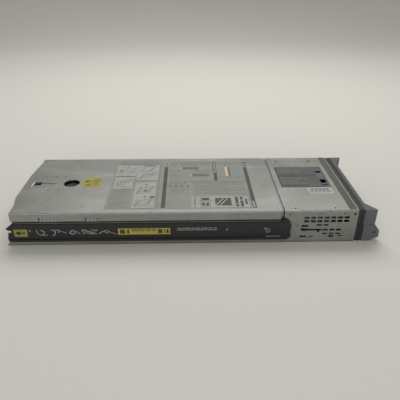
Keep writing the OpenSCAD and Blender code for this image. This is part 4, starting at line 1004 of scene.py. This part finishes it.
@dataclass
class RailLabels:
    """Labels and printed pictograms on the guide rail's outer face."""

    body: str = "chassis"
    slot: str = "rail_plastic"
    film_mm: float = 0.02

    def finish(self, sheet: Sheet, name: str, finish: Finish) -> None:
        """Makes a sheet that rides on the chassis."""
        sheet.make(name, self.body, finish)

    def build(self) -> None:
        """Makes the yellow labels, their marks and the pale pictograms."""
        films = Sheet(Side.RAIL, 0.0, self.film_mm).bar(2.9, 15.8, 21.4, 27.6)
        self.finish(films, "rail_arrow_label", Stock.yellow_worn)
        long_label = Sheet(Side.RAIL, 0.0, self.film_mm).bar(146.5, 17.4, 219, 27.6)
        self.finish(long_label, "rail_long_label", Stock.yellow)
        self.dark_marks()
        self.pictograms()

    def dark_marks(self) -> None:
        """The arrow towards the rear, and blocks and dashes on the long label."""
        marks = Sheet(Side.RAIL, self.film_mm, self.film_mm)
        marks.bar(8.4, 20.6, 18, 22.8)
        for lean in (1, -1):
            marks.stroke(((5.8, 21.7), (10.8, 21.7 + 2.9 * lean)), 1.4)
            marks.stroke(((7, 21.7), (10.8, 21.7 + 1.4 * lean)), 1.2)
        marks.bar(149, 19, 156, 26).bar(159, 19, 162, 26)
        marks.rows(165, 19, 199, 26.6, 2.6, 1.3, (0.22, 0.34, 0.16))
        marks.bar(202, 19, 208, 26).bar(210.5, 19, 211.8, 26).bar(213.6, 19, 216.8, 26)
        self.finish(marks, "rail_label_marks", Stock.ink_dark)

    def pictograms(self) -> None:
        """Pale line figures: a hand, a latch, a slide and a module, with a worn yellow tick."""
        lines = Sheet(Side.RAIL, 0.0, self.film_mm)
        lines.stroke(((34, 26), (36, 20), (40, 17.5), (43, 20)), 1.0)
        lines.stroke(((40, 26), (45, 24), (43, 17)), 1.2)
        lines.stroke(((46, 16.5), (48, 19)), 1.0).stroke(((55, 26.4), (60, 24.6), (59, 19), (56, 17)), 1.3)
        lines.stroke(((60, 26), (66, 26), (64, 22)), 1.0).stroke(((66, 25), (75, 21)), 0.8)
        lines.stroke(((79, 21.4), (84, 26), (88, 22), (84, 18.6)), 1.5, True)
        lines.stroke(((89, 24), (94, 19)), 0.9)
        lines.stroke(((97, 26.4), (99, 19)), 1.3).stroke(((99, 25.8), (116, 19.4)), 1.6)
        lines.stroke(((101, 21.6), (111, 18.6)), 1.0).stroke(((120, 19.6), (125, 23.4), (133, 20.4)), 1.1)
        lines.stroke(((125, 23.4), (131, 24.8), (139, 20)), 0.8).stroke(((138, 21), (144, 18)), 0.9)
        lines.rows(228.6, 20, 284, 27.4, 2.9, 1.1, (0.12, 0.2, 0.07)).disc(352, 24.5, 0.8)
        lines.stroke(((354, 18.8), (354, 24.4), (357, 24.4), (358.6, 21.6), (357, 18.8)), 1.1, True)
        lines.bar(353, 11.6, 374, 12.5)
        self.finish(lines, "rail_pictograms", Stock.ink_rail)
        tick = Sheet(Side.RAIL, 0.0, self.film_mm)
        tick.stroke(((110, 26.6), (113, 23.8), (118, 25.4)), 1.8).stroke(((114, 26.8), (116, 24.8)), 1.0)
        self.finish(tick, "rail_tick", Stock.yellow_worn)


# ---- Studio ----


@dataclass
class Studio:
    """The camera, the plain floor and the soft lights."""

    lens_mm: float = 39.6
    stand: tuple[float, float, float] = (-0.0075, -0.60693, 0.36061)
    pitch: float = 29.276
    yaw: float = -1.582
    roll: float = 0.217
    floor_width: float = 14.0
    floor_length: float = 14.0
    wall_y: float = 3.2
    bend: float = 1.8
    world_strength: float = 0.6

    def camera(self) -> None:
        """Stands the camera in front of the rail side, looking down on the cover."""
        data = bpy.data.cameras.new("camera")
        data.lens = self.lens_mm
        data.sensor_width = 36
        data.clip_start = 0.01
        camera = bpy.data.objects.new("camera", data)
        bpy.context.scene.collection.objects.link(camera)
        turn = Euler((math.radians(90 - self.pitch), 0, math.radians(self.yaw))).to_matrix()
        turn = turn @ Matrix.Rotation(math.radians(self.roll), 3, "Z")
        camera.matrix_world = Matrix.Translation(self.stand) @ turn.to_4x4()
        bpy.context.scene.camera = camera

    def floor(self) -> None:
        """A pale sweep: a floor that curves up into a wall behind the object."""
        bpy.ops.object.select_all(action="DESELECT")
        bpy.ops.mesh.primitive_grid_add(x_subdivisions=2, y_subdivisions=160, size=1)
        floor = bpy.context.object
        floor.name = "floor"
        for vertex in floor.data.vertices:
            vertex.co = self.sweep(vertex.co.x * self.floor_width, (vertex.co.y + 0.5) * self.floor_length)
        only(floor)
        bpy.ops.object.shade_smooth()
        material = bpy.data.materials.new("studio_paper")
        material.use_nodes = True
        tree = material.node_tree
        shader = tree.nodes["Principled BSDF"]
        shader.inputs["Base Color"].default_value = linear("#cdcbc4")
        shader.inputs["Roughness"].default_value = 0.9
        floor.data.materials.append(material)

    def sweep(self, across: float, along: float) -> Vector:
        """A point of the sweep, some way along its profile from the front edge."""
        turn_start = self.wall_y - self.bend + self.floor_length * 0.6
        if along < turn_start:
            return Vector((across, along - self.floor_length * 0.6, 0))
        angle = min((along - turn_start) / self.bend, math.pi / 2)
        rise = max(along - turn_start - self.bend * math.pi / 2, 0)
        return Vector((across, self.wall_y - self.bend * (1 - math.sin(angle)),
                       self.bend * (1 - math.cos(angle)) + rise))

    def world(self) -> None:
        """An even pale surround."""
        world = bpy.data.worlds.new("surround")
        bpy.context.scene.world = world
        world.use_nodes = True
        background = world.node_tree.nodes["Background"]
        background.inputs["Color"].default_value = linear("#e4e3df")
        background.inputs["Strength"].default_value = self.world_strength

    def lamp(self, name: str, at: tuple[float, float, float], size: tuple[float, float],
             power: float) -> None:
        """A soft rectangular lamp that faces the object."""
        data = bpy.data.lights.new(name, "AREA")
        data.shape = "RECTANGLE"
        data.size, data.size_y = size
        data.energy = power
        lamp = bpy.data.objects.new(name, data)
        bpy.context.scene.collection.objects.link(lamp)
        aim = (Vector((0, 0, 0.02)) - Vector(at)).to_track_quat("-Z", "Y")
        lamp.matrix_world = Matrix.Translation(at) @ aim.to_matrix().to_4x4()

    def build(self) -> None:
        """Sets up the studio."""
        bpy.context.scene.view_settings.view_transform = "Standard"
        self.camera()
        self.floor()
        self.world()
        self.lamp("back_lamp", (0.1, 0.85, 1.25), (1.5, 0.9), 15)
        self.lamp("front_lamp", (-0.15, -1.7, 0.42), (1.8, 0.5), 11)


def main() -> None:
    """Builds the studio, dresses the frame and makes every added piece."""
    Studio().build()
    dress_nodes()
    for assembly in (SealStrip(), CoverLabels(), FrontLabels(), RailLabels()):
        assembly.build()


if __name__ == "__main__":
    main()
